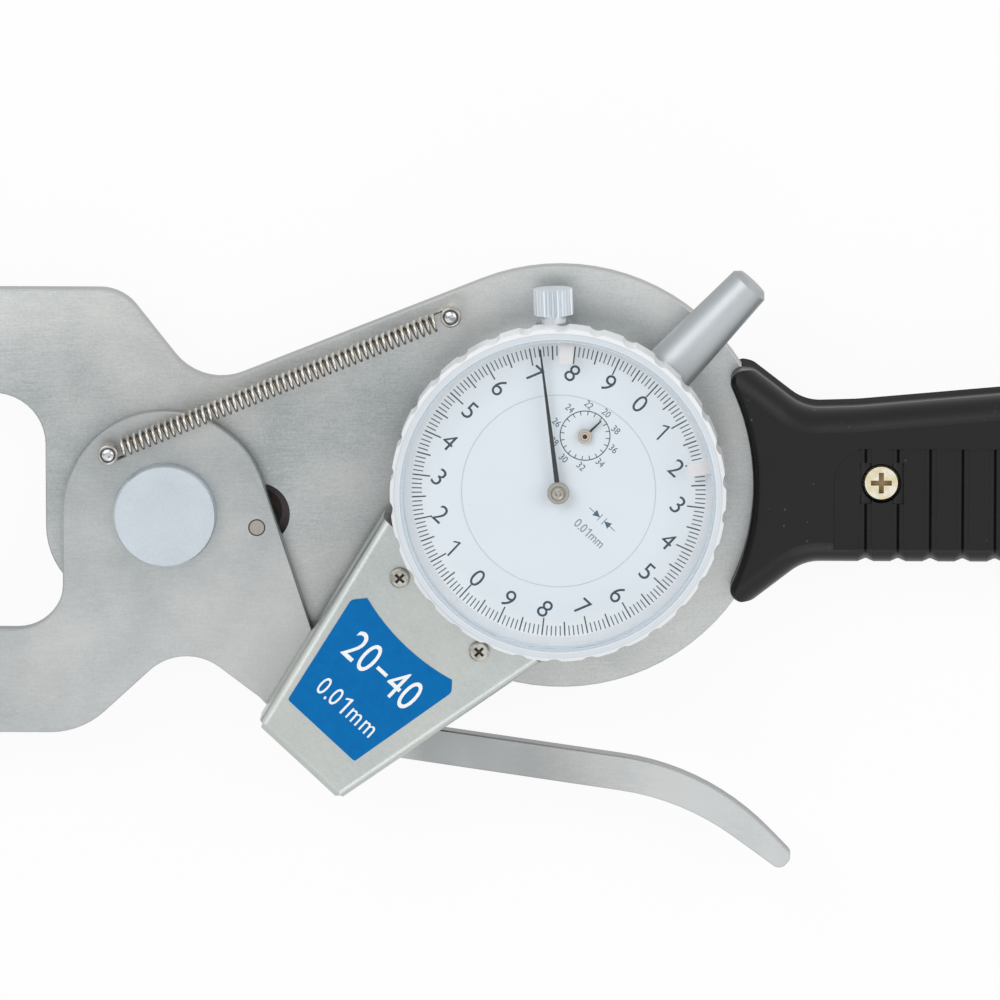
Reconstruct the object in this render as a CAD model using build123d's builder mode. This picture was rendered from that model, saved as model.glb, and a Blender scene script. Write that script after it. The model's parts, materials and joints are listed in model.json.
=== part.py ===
from math import atan2, cos, floor, hypot, pi, radians, sin, sqrt, tan
import os

from build123d import *

os.makedirs("parts", exist_ok=True)

# Outside dial caliper gauge. Millimetres. The origin is on the jaw pivot's axis, at the foot of the
# pivot's cap nut; +X runs to the handle, +Y to the fixed jaw, +Z to the dial.

# Driving dimensions: the frame
plate_thickness = 4.0
plate_back = 6.5
arm_thickness = 3.5
arm_gap = 0.1  # running gap between the fixed plate and the moving arm
dial_x = 68.5
dial_y = 6.1
disc_radius = 37.0
stem_angle = 46.9  # direction of the spindle, from +X
jaw_opening = 20.0  # between the contact tips at rest
jaw_reach = 91.7  # from the pivot to the contact tips
jaw_half_height = 38.7
tip_half_width = 5.5
tip_stand_off = 4.0  # from a ball's tip to its jaw
jaw_depth = 18.2  # width of a jaw's bar
throat_floor = 21.0  # from the pivot to the plate's edge in the throat
throat_floor_end = 12.0
swing = 13.0  # travel of the moving arm, in degrees
edge_break = 0.3  # chamfer on small turned and milled pieces
edge_chamfer = 0.5
sheet_edge = 0.25  # chamfer round the front of the plate and the arm
overrun = 1.0  # how far a cut runs on past the face it opens
plate_neck = (6.2, 21.1, 10.1)  # x, y and radius, where the disc's shoulder meets the jaw
jaw_back = (-7.6, jaw_half_height, 8.0)
plate_lower_corners = [(6.0, -23.5, 14.0), (33.0, -34.0, 5.0), (50.0, -26.0, 0)]
throat_upper_radius = 9.0
throat_lower_radius = 14.0

# Driving dimensions: pivot and stop
pivot_radius = 4.0
pivot_clearance = 0.05
pivot_head_radius = 8.95
pivot_head_height = 3.2
pivot_head_chamfer = 0.3
pivot_thread_radius = 3.0
hub_radius = 17.9
nut_height = 5.5
nut_across_flats = 12.0
nut_floor = 1.4
back_washer_thickness = plate_back - nut_height
stop_radius = 16.04
stop_rest_angle = -8.6
stop_pin_radius = 1.5
stop_collar_radius = 3.6
stop_clearance = 0.03
collar_gap = 0.4  # from the collar to the washer behind the hole

# Driving dimensions: return spring
spring_post_radius = 1.1
spring_head_radius = 1.75
spring_level = 17.2
wire_diameter = 0.45
coil_radius = 1.43
coil_count = 26
wire_sides = 4
hook_clearance = 0.12
hook_length = 3.3  # from a post's axis to the first turn
arm_post = (-9.7, 11.05)
plate_post = (49.7, 35.4)

# Driving dimensions: indicator
spindle_level = 18.4
spindle_radius = 2.0
running_clearance = 0.03
stem_radius = 4.0
stem_end = 40.0  # from the dial's centre
case_radius = 26.5
indicator_screw_inset = 8.5  # of the three screws behind, from the case's outside
case_wall = 1.7
back_cover_thickness = 1.5
case_height = 12.3
bezel_wall = 2.5  # how far the bezel stands outside the case
bezel_drop = 0.8  # how far the bezel laps the case
bezel_height = 7.6
bezel_scallops = 30
scallop_depth = 0.45
scale_margin = 1.0  # how far the scale stays inside the case's outside
inner_dial_radius = 16.7
dial_thickness = 0.5
dial_stand_off = 0.5  # from the case's rim to the dial's back
crystal_margin = 1.7  # from the crystal's rim to the bezel's outside
crystal_thickness = 1.4
cap_radius = 4.55
cap_end_radius = 3.65
cap_length = 22.3  # from the case's outside to the cap's end
foot_offset = 51.2  # from the dial's centre to the foot of the pivot's perpendicular
contact_ball_radius = 1.5
contact_gap = 0.05
spindle_rise = 7.5  # how far the spindle stands out of the case, inside the cap

# Driving dimensions: gear train
rack_pitch = 0.625
rack_pinion_teeth = 16
gear_teeth = 100
centre_teeth = 10
gear_module = 0.195
arbor_radius = 0.5
gear_thickness = 0.6
rack_pinion_width = 2.6

# Driving dimensions: sheet cover
cover_thickness = 0.8
cover_top = 23.3
cover_bottom = 14.6
cover_end = 66.2
cover_end_half = 9.7
cover_wide = 24.6
cover_wide_half = 18.6
cover_bend = 1.6
cover_screw_across = 9.4
cover_screw_gap = 3.7  # from the case's outside to the screws, along the spindle
cover_post_radius = 2.2

# Driving dimensions: handle
handle_centre_y = 5.4
handle_thickness = 17.0
handle_length_end = 198.0
handle_half_width = 13.4
horn_half_height = 20.2
horn_flare = 0.6
horn_tip_radius = 2.2
horn_length = 8.0
handle_horn_x = 94.0
handle_neck_x = 110.8
handle_swell_x = 150.0
handle_swell = 3.0  # how far the upper edge swells above the neck
handle_end_round = 14.0
neck_radius = 8.0
horn_corner = 2.5
handle_round = 4.5  # rounding along the outer edges
round_excess = 1.01  # keeps the rounding off the flats' tangents
handle_mouth_x = 60.7
handle_mouth_radius = 41.3
tang_half_width = 7.0
tang_inset = 12.0  # from the tang's end to the handle's
tang_corner = 3.0
tang_clearance = 0.15
rib_pitch = 5.6
panel_start = 115.9  # where the sunk grip panel begins
panel_top = 6.9  # its upper edge, from the handle's centre line
panel_depth = 0.4
panel_margin = 6.5  # from the panel's far edge to the handle's end
handle_screw_start = 124.2
handle_screw_inset = 20.0  # of the second screw, from the handle's end
handle_screw_y = 6.2
handle_screw_radius = 1.5
handle_head_radius = 3.15
handle_sink_radius = 3.45
handle_sink_depth = 3.0

# Derived levels and places
plate_front = plate_back + plate_thickness
arm_back = plate_front + arm_gap
arm_front = arm_back + arm_thickness
case_bottom = plate_front + back_cover_thickness
case_top = case_bottom + case_height
bezel_bottom = case_top - bezel_drop
bezel_top = bezel_bottom + bezel_height
bezel_radius = case_radius + bezel_wall
scale_radius = case_radius - scale_margin
crystal_radius = bezel_radius - crystal_margin
cap_end = case_radius + cap_length
cover_screw_along = case_radius + cover_screw_gap
spindle_top = case_radius + spindle_rise
tang_end = handle_length_end - tang_inset
handle_screw_x = (handle_screw_start, handle_length_end - handle_screw_inset)
rib_count = floor((handle_length_end - panel_margin - panel_start) / rib_pitch) - 1
axis_u = (sin(radians(stem_angle)), -cos(radians(stem_angle)))
axis_v = (cos(radians(stem_angle)), sin(radians(stem_angle)))
lever_arm = dial_x * axis_u[0] + dial_y * axis_u[1]


def at_dial(across, along):
    """A point given across and along the spindle's axis, from the dial's centre."""
    return (
        dial_x + across * axis_u[0] + along * axis_v[0],
        dial_y + across * axis_u[1] + along * axis_v[1],
    )


def dial_plane(level):
    """The dial's own plane at a level: X across the spindle, Y along it."""
    return Plane(origin=(dial_x, dial_y, level), x_dir=(axis_u[0], axis_u[1], 0), z_dir=(0, 0, 1))


def spindle_plane(along):
    """A plane square to the spindle: X runs in +Z, so Y is across to the rack's side."""
    x, y = at_dial(0, along)
    return Plane(origin=(x, y, spindle_level), x_dir=(0, 0, 1), z_dir=(axis_v[0], axis_v[1], 0))


def rounded_outline(corners, closed=True):
    """Draw an outline through corners (x, y, radius), rounding each with its radius."""
    ends = []
    count = len(corners)
    for i in range(count):
        x, y, radius = corners[i]
        before = corners[i - 1]
        after = corners[(i + 1) % count]
        run_in = hypot(x - before[0], y - before[1])
        run_out = hypot(after[0] - x, after[1] - y)
        in_x, in_y = (x - before[0]) / run_in, (y - before[1]) / run_in
        out_x, out_y = (after[0] - x) / run_out, (after[1] - y) / run_out
        turn = abs(atan2(in_x * out_y - in_y * out_x, in_x * out_x + in_y * out_y))
        cut = radius * tan(turn / 2)
        start = (x - cut * in_x, y - cut * in_y)
        finish = (x + cut * out_x, y + cut * out_y)
        lean = hypot(out_x - in_x, out_y - in_y)
        sink = radius / cos(turn / 2) - radius
        middle = (x + sink * (out_x - in_x) / lean, y + sink * (out_y - in_y) / lean)
        ends.append((start, middle, finish, radius))
    for i in range(count):
        start, middle, finish, radius = ends[i]
        if radius > 0:
            ThreePointArc(start, middle, finish)
        if closed or i < count - 1:
            Line(finish, ends[(i + 1) % count][0])


def toothed_outline(teeth, root, tip, root_share, tip_share, phase):
    """Draw a gear's outline: straight-sided teeth, widths given as shares of a tooth's angle."""
    step = 2 * pi / teeth
    corners = [(root, -root_share / 2), (tip, -tip_share / 2), (tip, tip_share / 2), (root, root_share / 2)]
    points = []
    for i in range(teeth):
        for radius, share in corners:
            angle = phase + (i + share) * step
            points.append((radius * cos(angle), radius * sin(angle)))
    Polyline(*points, close=True)


# Jaw corners, shared by both jaws: the moving jaw mirrors the fixed one
tip_inner = jaw_opening / 2 + tip_stand_off
jaw_inner = jaw_half_height - jaw_depth
tip_far = -jaw_reach - tip_half_width
tip_near = -jaw_reach + tip_half_width
nose_start = -84.0
nose_fall = 7.0
nose_corner = 14.0
nose_shoulder = 8.0
tip_corner = 1.5
tip_slope = 5.0  # run of the slope from the tip to the jaw's inner edge
jaw_nose = [
    (nose_start, jaw_half_height, nose_corner),
    (tip_far, jaw_half_height - nose_fall, nose_shoulder),
    (tip_far, tip_inner, tip_corner),
    (tip_near, tip_inner, tip_corner),
    (tip_near + tip_slope, jaw_inner, nose_shoulder),
]

# Fixed plate: jaw, neck, round dial seat and the tang inside the handle
shoulder_slope = 21.5
tangent_x = dial_x - disc_radius * sin(radians(shoulder_slope))
tangent_y = dial_y + disc_radius * cos(radians(shoulder_slope))
stop_middle = radians(stop_rest_angle + swing / 2)
stop_hole_x = stop_radius * cos(stop_middle)
stop_hole_y = stop_radius * sin(stop_middle)
stop_hole_radius = stop_collar_radius + stop_radius * sin(radians(swing / 2)) + stop_clearance
indicator_screw_circle = case_radius - indicator_screw_inset
indicator_screw_radius = 1.25
with BuildPart() as main_plate:
    with BuildSketch(Plane.XY.offset(plate_back)):
        with BuildLine():
            rounded_outline(
                [(dial_x, dial_y, 0), (tangent_x, tangent_y, 0), plate_neck, jaw_back]
                + jaw_nose
                + [(-throat_floor, jaw_inner, throat_upper_radius)]
                + [(-throat_floor, -throat_floor_end, throat_lower_radius)]
                + plate_lower_corners
            )
        make_face()
        with Locations((dial_x, dial_y)):
            Circle(disc_radius)
        with Locations(((dial_x + tang_end) / 2, handle_centre_y)):
            RectangleRounded(tang_end - dial_x, 2 * tang_half_width, tang_corner)
    extrude(amount=plate_thickness)
    chamfer(main_plate.faces().sort_by(Axis.Z)[-1].edges(), sheet_edge)
    with BuildSketch(Plane.XY.offset(plate_back)):
        Circle(pivot_radius)
        with Locations((stop_hole_x, stop_hole_y)):
            Circle(stop_hole_radius)
        with Locations(plate_post):
            Circle(spring_post_radius)
        with Locations(*[(x, handle_screw_y) for x in handle_screw_x]):
            Circle(handle_screw_radius)
    extrude(amount=plate_thickness, mode=Mode.SUBTRACT)
    with BuildSketch(dial_plane(plate_back)):
        with PolarLocations(indicator_screw_circle, 3, start_angle=90):
            Circle(indicator_screw_radius)
    extrude(amount=plate_thickness, mode=Mode.SUBTRACT)
main_plate.part.label = "main_plate"
export_step(main_plate.part, "parts/main_plate.step")

# Moving arm: hub, lower jaw and the curved finger lever, all one plate
contact_shank_radius = 1.2
contact_shank_length = 10.0
contact_axis_level = (arm_back + arm_front) / 2
stop_x = stop_radius * cos(radians(stop_rest_angle))
stop_y = stop_radius * sin(radians(stop_rest_angle))
arm_back_corner = (-14.8, -jaw_half_height, nose_corner)
arm_waist = [(3.0, -22.3, 9.5), (16.2, -32.3, 1.5)]
lever_bend_radius = 44.0
lever_end_radius = 1.6
lever_under = [(24.0, -40.5, 6.0), (89.8, -50.1, lever_bend_radius)]
lever_end = [(106.9, -62.6, lever_end_radius), (109.2, -60.0, lever_end_radius)]
lever_over = [(94.3, -44.6, lever_bend_radius), (30.4, -35.4, 12.0)]
hub_leave_angle = radians(17.0)  # where the arm's front edge leaves the hub's circle
moving_nose = [(x, -y, radius) for x, y, radius in reversed(jaw_nose)]
hub_side = [
    (hub_radius * cos(hub_leave_angle), hub_radius * sin(hub_leave_angle), 0),
    (0, 0, 0),
    (-hub_radius, 0, 0),
    (-hub_radius, -jaw_inner, nose_shoulder),
]
lever_outline = [arm_back_corner] + arm_waist + lever_under + lever_end + lever_over + hub_side
with BuildPart() as moving_arm:
    with BuildSketch(Plane.XY.offset(arm_back)):
        with BuildLine():
            rounded_outline(lever_outline + moving_nose)
        make_face()
        Circle(hub_radius)
    extrude(amount=arm_thickness)
    chamfer(moving_arm.faces().sort_by(Axis.Z)[-1].edges(), sheet_edge)
    with BuildSketch(Plane.XY.offset(arm_back)):
        Circle(pivot_radius + pivot_clearance)
        with Locations((stop_x, stop_y)):
            Circle(stop_pin_radius)
        with Locations(arm_post):
            Circle(spring_post_radius)
    extrude(amount=arm_thickness, mode=Mode.SUBTRACT)
    with BuildSketch(Plane(origin=(-jaw_reach, -tip_inner, contact_axis_level), z_dir=(0, -1, 0))):
        Circle(contact_shank_radius)
    extrude(amount=contact_shank_length, mode=Mode.SUBTRACT)

# Spindle geometry: a flat anvil on the arm drives the ball on the spindle's foot
rest_tilt = -swing / 2
ball_along = -foot_offset + lever_arm * tan(radians(rest_tilt))
anvil_normal = stem_angle + rest_tilt
anvil_thickness = 3.0
anvil_width = 6.0
anvil_height = 6.6
anvil_screw_radius = 0.9
anvil_screw_head = 1.7
anvil_screw_sink = 1.0
anvil_screw_depth = 3.5  # into the anvil
ball_x, ball_y = at_dial(0, ball_along)
anvil_offset = contact_ball_radius + contact_gap + anvil_thickness / 2
anvil_x = ball_x - anvil_offset * cos(radians(anvil_normal))
anvil_y = ball_y - anvil_offset * sin(radians(anvil_normal))
with BuildPart(mode=Mode.PRIVATE) as anvil_screw_space:
    with BuildSketch(Plane.XY.offset(arm_back)):
        with Locations((anvil_x, anvil_y)):
            Circle(anvil_screw_head)
    extrude(amount=anvil_screw_sink)
    with BuildSketch(Plane.XY.offset(arm_back)):
        with Locations((anvil_x, anvil_y)):
            Circle(anvil_screw_radius)
    extrude(amount=arm_thickness + anvil_screw_depth)
moving_arm_part = moving_arm.part - anvil_screw_space.part
moving_arm_part.label = "moving_arm"
export_step(moving_arm_part, "parts/moving_arm.step")

anvil_plane = Plane(
    origin=(anvil_x, anvil_y, arm_front),
    x_dir=(cos(radians(anvil_normal)), sin(radians(anvil_normal)), 0),
    z_dir=(0, 0, 1),
)
with BuildPart() as anvil_block:
    with BuildSketch(anvil_plane):
        Rectangle(anvil_thickness, anvil_width)
    extrude(amount=anvil_height)
    chamfer(anvil_block.faces().sort_by(Axis.Z)[-1].edges(), edge_break)
anvil = anvil_block.part - anvil_screw_space.part
anvil.label = "anvil"
export_step(anvil, "parts/anvil.step")

anvil_screw = anvil_screw_space.part
anvil_screw.label = "anvil_screw"
export_step(anvil_screw, "parts/anvil_screw.step")

# Contacts: ball-nosed pins along Y, one in each jaw's tip
contact_ball = 2.0
collar_length = 1.0


def contact_pin(side):
    """Build a pin whose ball looks to the throat; side is 1 on the fixed jaw, -1 on the moving one."""
    with BuildPart() as pin:
        with BuildSketch(Plane(origin=(-jaw_reach, 0, contact_axis_level), x_dir=(1, 0, 0), z_dir=(0, 0, 1))):
            with BuildLine():
                tip = side * jaw_opening / 2
                nose = side * (jaw_opening / 2 + contact_ball)
                seat = side * tip_inner
                tail = side * (tip_inner + contact_shank_length)
                half = contact_ball / sqrt(2)
                ThreePointArc((0, tip), (half, nose - side * half), (contact_ball, nose))
                Polyline((contact_ball, nose), (contact_ball, seat), (contact_shank_radius, seat),
                         (contact_shank_radius, tail), (0, tail), (0, tip))
            make_face()
        revolve(axis=Axis((-jaw_reach, 0, contact_axis_level), (0, 1, 0)))
    return pin.part


moving_contact = contact_pin(-1)
moving_contact.label = "moving_contact"
export_step(moving_contact, "parts/moving_contact.step")
fixed_contact = contact_pin(1)
fixed_contact.label = "fixed_contact"
export_step(fixed_contact, "parts/fixed_contact.step")

# Holder that carries the fixed contact in front of its jaw, level with the moving one
holder_length = 15.0
holder_height = 4.6
holder_screw_radius = 1.0
holder_screw_spacing = 7.0
holder_screw_inset = 3.0
holder_corner = 1.5
with BuildPart() as contact_holder:
    with BuildSketch(Plane.XY.offset(plate_front)):
        with Locations((-jaw_reach, tip_inner + holder_length / 2)):
            RectangleRounded(2 * tip_half_width, holder_length, holder_corner)
    extrude(amount=holder_height)
    chamfer(contact_holder.faces().sort_by(Axis.Z)[-1].edges(), edge_chamfer)
    with BuildSketch(Plane(origin=(-jaw_reach, tip_inner, contact_axis_level), z_dir=(0, 1, 0))):
        Circle(contact_shank_radius)
    extrude(amount=contact_shank_length, mode=Mode.SUBTRACT)
    with BuildSketch(Plane.XY.offset(plate_front)):
        with Locations((-jaw_reach, tip_inner + holder_length - holder_screw_inset)):
            with GridLocations(holder_screw_spacing, 1, 2, 1):
                Circle(holder_screw_radius)
    extrude(amount=holder_height, mode=Mode.SUBTRACT)
contact_holder.part.label = "contact_holder"
export_step(contact_holder.part, "parts/contact_holder.step")

holder_head_radius = 1.7
holder_head_height = 1.1
holder_head_chamfer = 0.4
with BuildPart() as holder_screws:
    with BuildSketch(Plane.XY.offset(plate_front)):
        with Locations((-jaw_reach, tip_inner + holder_length - holder_screw_inset)):
            with GridLocations(holder_screw_spacing, 1, 2, 1):
                Circle(holder_screw_radius)
    extrude(amount=holder_height)
    with BuildSketch(Plane.XY.offset(plate_front + holder_height)):
        with Locations((-jaw_reach, tip_inner + holder_length - holder_screw_inset)):
            with GridLocations(holder_screw_spacing, 1, 2, 1):
                Circle(holder_head_radius)
    extrude(amount=holder_head_height)
    chamfer(holder_screws.faces().group_by(Axis.Z)[-1].edges(), holder_head_chamfer)
holder_screws.part.label = "contact_holder_screws"
export_step(holder_screws.part, "parts/contact_holder_screws.step")

# Pivot: a wide-headed bolt, a plate behind that closes the stop's hole, and a blind cap nut
with BuildPart() as pivot_bolt:
    with BuildSketch(Plane.XY.offset(nut_floor)):
        Circle(pivot_thread_radius)
    extrude(amount=plate_back - nut_floor)
    with BuildSketch(Plane.XY.offset(plate_back)):
        Circle(pivot_radius)
    extrude(amount=arm_front + arm_gap - plate_back)
    with BuildSketch(Plane.XY.offset(arm_front + arm_gap)):
        Circle(pivot_head_radius)
    extrude(amount=pivot_head_height)
    chamfer(pivot_bolt.faces().sort_by(Axis.Z)[-1].edges(), pivot_head_chamfer)
pivot_bolt.part.label = "pivot_bolt"
export_step(pivot_bolt.part, "parts/pivot_bolt.step")

washer_end_radius = 8.5
with BuildPart() as pivot_back_washer:
    with BuildSketch(Plane.XY.offset(nut_height)):
        with Locations((stop_hole_x / 2, 0)):
            SlotOverall(stop_hole_x + 2 * washer_end_radius, 2 * washer_end_radius)
        Circle(pivot_thread_radius, mode=Mode.SUBTRACT)
    extrude(amount=back_washer_thickness)
pivot_back_washer.part.label = "pivot_back_washer"
export_step(pivot_back_washer.part, "parts/pivot_back_washer.step")

with BuildPart() as pivot_cap_nut:
    with BuildSketch():
        RegularPolygon(nut_across_flats / 2, 6, major_radius=False)
    extrude(amount=nut_height)
    with BuildSketch(Plane.XY.offset(nut_floor)):
        Circle(pivot_thread_radius)
    extrude(amount=nut_height - nut_floor, mode=Mode.SUBTRACT)
    chamfer(pivot_cap_nut.faces().sort_by(Axis.Z)[0].edges(), edge_chamfer)
pivot_cap_nut.part.label = "pivot_cap_nut"
export_step(pivot_cap_nut.part, "parts/pivot_cap_nut.step")

# Stop pin: flush in the arm, with a collar that meets the hole in the plate at both ends of the swing
with BuildPart() as stop_pin:
    with BuildSketch(Plane.XY.offset(plate_back + collar_gap)):
        with Locations((stop_x, stop_y)):
            Circle(stop_collar_radius)
    extrude(amount=arm_back - plate_back - collar_gap)
    with BuildSketch(Plane.XY.offset(arm_back)):
        with Locations((stop_x, stop_y)):
            Circle(stop_pin_radius)
    extrude(amount=arm_thickness)
stop_pin.part.label = "stop_pin"
export_step(stop_pin.part, "parts/stop_pin.step")

# Spring posts: domed heads over a necked pin
head_gap = 0.5
head_height = 1.2
head_dome = 0.7  # chamfer round a post's head


def spring_post(place, foot):
    """Build a post from its foot up past the spring's hook, with a domed head."""
    neck_top = spring_level + wire_diameter / 2 + head_gap
    with BuildPart() as post:
        with BuildSketch(Plane.XY.offset(foot)):
            with Locations(place):
                Circle(spring_post_radius)
        extrude(amount=neck_top - foot)
        with BuildSketch(Plane.XY.offset(neck_top)):
            with Locations(place):
                Circle(spring_head_radius)
        extrude(amount=head_height)
        chamfer(post.faces().sort_by(Axis.Z)[-1].edges(), head_dome)
    return post.part


spring_post_plate = spring_post(plate_post, plate_back)
spring_post_plate.label = "spring_post_plate"
export_step(spring_post_plate, "parts/spring_post_plate.step")
spring_post_arm = spring_post(arm_post, arm_back)
spring_post_arm.label = "spring_post_arm"
export_step(spring_post_arm, "parts/spring_post_arm.step")

# Return spring: one wire, hooked round both posts, its turns drawn as pairs of tangent arcs
span_x = plate_post[0] - arm_post[0]
span_y = plate_post[1] - arm_post[1]
spring_span = hypot(span_x, span_y)
coil_length = spring_span - 2 * hook_length
hook_radius = spring_post_radius + wire_diameter / 2 + hook_clearance
along_x = span_x / spring_span
along_y = span_y / spring_span


def spring_space(along, across, up):
    """A point of the spring's own space: along the line between the posts, across it and up."""
    return Vector(
        arm_post[0] + along * along_x - across * along_y,
        arm_post[1] + along * along_y + across * along_x,
        spring_level + up,
    )


def spring_direction(along, across, up):
    return Vector(along * along_x - across * along_y, along * along_y + across * along_x, up).normalized()


def joined_arcs(start, start_way, finish, finish_way):
    """Two tangent arcs from one point and direction to another; each is (start, middle, end)."""
    chord = finish - start
    ways = start_way + finish_way
    spare = 2 * (1 - start_way.dot(finish_way))
    push = chord.dot(ways)
    reach = (sqrt(push * push + spare * chord.dot(chord)) - push) / spare
    first = start + start_way * reach
    second = finish - finish_way * reach
    joint = (first + second) * 0.5
    arcs = []
    for a, corner, b in ((start, first, joint), (joint, second, finish)):
        weight = (b - a).length / (2 * reach)
        arcs.append((a, (a + corner * (2 * weight) + b) * (1 / (2 + 2 * weight)), b))
    return arcs


def hook_knots(centre, heading):
    """Knots round a post, from its far side back to the coil; heading is 1 or -1 along the span."""
    knots = []
    for quarter in range(4):
        angle = radians(90 * quarter)
        across = heading * hook_radius * sin(angle)
        point = spring_space(centre + heading * hook_radius * cos(angle), across, 0)
        way = spring_direction(-heading * sin(angle), heading * cos(angle), 0)
        knots.append((point, way))
    return knots


knots = hook_knots(0, 1)
half_turns = 2 * coil_count + 1
rise = 2 * coil_length / half_turns
for i in range(half_turns + 1):
    angle = 1.5 * pi + pi * i
    along = hook_length + rise * i / 2
    point = spring_space(along, coil_radius * sin(angle), coil_radius * cos(angle))
    way = spring_direction(rise / (2 * pi), coil_radius * cos(angle), -coil_radius * sin(angle))
    knots.append((point, way))
far_hook = hook_knots(spring_span, -1)
knots += [(point, way * -1) for point, way in reversed(far_hook)]

# One tube along all the arcs
spring_arcs = []
for (start, start_way), (finish, finish_way) in zip(knots[:-1], knots[1:]):
    spring_arcs += joined_arcs(start, start_way, finish, finish_way)

with BuildPart() as return_spring:
    with BuildLine() as wire_path:
        for start, middle, finish in spring_arcs:
            ThreePointArc(start, middle, finish)
    with BuildSketch(Plane(origin=knots[0][0], z_dir=knots[0][1])):
        RegularPolygon(wire_diameter / 2, wire_sides)
    sweep(path=wire_path.wires()[0], clean=False)
return_spring.part.label = "return_spring"
export_step(return_spring.part, "parts/return_spring.step")
wire_samples = 1200
whole_wire = wire_path.wires()[0]
wire_points = [whole_wire @ (i / wire_samples) for i in range(wire_samples + 1)]
half_turn_samples = round(pi * coil_radius * wire_samples / whole_wire.length)
turn_gaps = []
for i in range(wire_samples + 1 - half_turn_samples):
    for other in wire_points[i + half_turn_samples:i + 4 * half_turn_samples]:
        turn_gaps.append((wire_points[i] - other).length - wire_diameter)
print("spring: least gap to itself", round(min(turn_gaps), 3), "mm, turns", coil_count)

# Indicator: back cover and case, held to the plate by three screws from behind
movement_plate_thickness = 1.2
bridge_level = 22.1
bridge_thickness = 1.1
bezel_clearance = 0.12
bezel_inner = case_radius + bezel_clearance
with BuildPart() as indicator_back_cover:
    with BuildSketch(Plane.XY.offset(plate_front)):
        with Locations((dial_x, dial_y)):
            Circle(case_radius)
    extrude(amount=back_cover_thickness)
    chamfer(indicator_back_cover.faces().sort_by(Axis.Z)[0].edges(), edge_chamfer)
    with BuildSketch(dial_plane(plate_front)):
        with PolarLocations(indicator_screw_circle, 3, start_angle=90):
            Circle(indicator_screw_radius)
    extrude(amount=back_cover_thickness, mode=Mode.SUBTRACT)
indicator_back_cover.part.label = "indicator_back_cover"
export_step(indicator_back_cover.part, "parts/indicator_back_cover.step")

screw_head_radius = 2.3
screw_head_height = 1.4
screw_socket_radius = 1.0
with BuildPart() as indicator_screws:
    with BuildSketch(dial_plane(plate_back)):
        with PolarLocations(indicator_screw_circle, 3, start_angle=90):
            Circle(indicator_screw_radius)
    extrude(amount=plate_thickness + back_cover_thickness)
    with BuildSketch(dial_plane(plate_back - screw_head_height)):
        with PolarLocations(indicator_screw_circle, 3, start_angle=90):
            Circle(screw_head_radius)
    extrude(amount=screw_head_height)
    chamfer(indicator_screws.faces().group_by(Axis.Z)[0].edges(), edge_break)
    with BuildSketch(dial_plane(plate_back - screw_head_height)):
        with PolarLocations(indicator_screw_circle, 3, start_angle=90):
            RegularPolygon(screw_socket_radius, 6)
    extrude(amount=screw_head_height / 2, mode=Mode.SUBTRACT)
indicator_screws.part.label = "indicator_screws"
export_step(indicator_screws.part, "parts/indicator_screws.step")

bush_radius = 3.0
clamp_angle = stem_angle + 45.0
clamp_level = 19.6
clamp_thread_radius = 1.2


def clamp_plane(reach):
    """A plane square to the clamp screw, at a distance from the dial's centre."""
    way = (cos(radians(clamp_angle)), sin(radians(clamp_angle)))
    return Plane(
        origin=(dial_x + reach * way[0], dial_y + reach * way[1], clamp_level),
        x_dir=(0, 0, 1),
        z_dir=(way[0], way[1], 0),
    )


with BuildPart() as indicator_case:
    with BuildSketch(Plane.XY.offset(case_bottom)):
        with Locations((dial_x, dial_y)):
            Circle(case_radius)
            Circle(case_radius - case_wall, mode=Mode.SUBTRACT)
    extrude(amount=case_height)
    with BuildSketch(spindle_plane(-case_radius - overrun)):
        Circle(stem_radius)
    extrude(amount=case_wall + 3 * overrun, mode=Mode.SUBTRACT)
    with BuildSketch(spindle_plane(case_radius - case_wall - overrun)):
        Circle(bush_radius)
    extrude(amount=case_wall + 3 * overrun, mode=Mode.SUBTRACT)
    with BuildSketch(clamp_plane(case_radius - case_wall - overrun)):
        Circle(clamp_thread_radius + running_clearance)
    extrude(amount=case_wall + 2 * overrun, mode=Mode.SUBTRACT)
indicator_case.part.label = "indicator_case"
export_step(indicator_case.part, "parts/indicator_case.step")

# Stem round the spindle, from inside the case to the anvil's side
sleeve_reach = 1.5  # how far the stem and the bush stand inside the case
stem_inside = case_radius - case_wall - sleeve_reach
with BuildPart() as stem:
    with BuildSketch(spindle_plane(-stem_end)):
        Circle(stem_radius)
        Circle(spindle_radius + running_clearance, mode=Mode.SUBTRACT)
    extrude(amount=stem_end - stem_inside)
    chamfer(stem.faces().filter_by(GeomType.PLANE).sort_by(Axis.X)[0].edges(), edge_break)
stem.part.label = "stem"
export_step(stem.part, "parts/stem.step")

# Upper bush and the hollow cap screwed over it
bush_inside = case_radius - case_wall - sleeve_reach
bush_length = 7.0
cap_gap = 0.1  # from the case to the cap
cap_bore_clearance = 0.5
cap_start = case_radius + cap_gap
cap_bore = spindle_radius + cap_bore_clearance
cap_roof = 1.5
with BuildPart() as upper_bush:
    with BuildSketch(spindle_plane(bush_inside)):
        Circle(bush_radius)
        Circle(spindle_radius + running_clearance, mode=Mode.SUBTRACT)
    extrude(amount=bush_length)
upper_bush.part.label = "upper_bush"
export_step(upper_bush.part, "parts/upper_bush.step")

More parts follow.
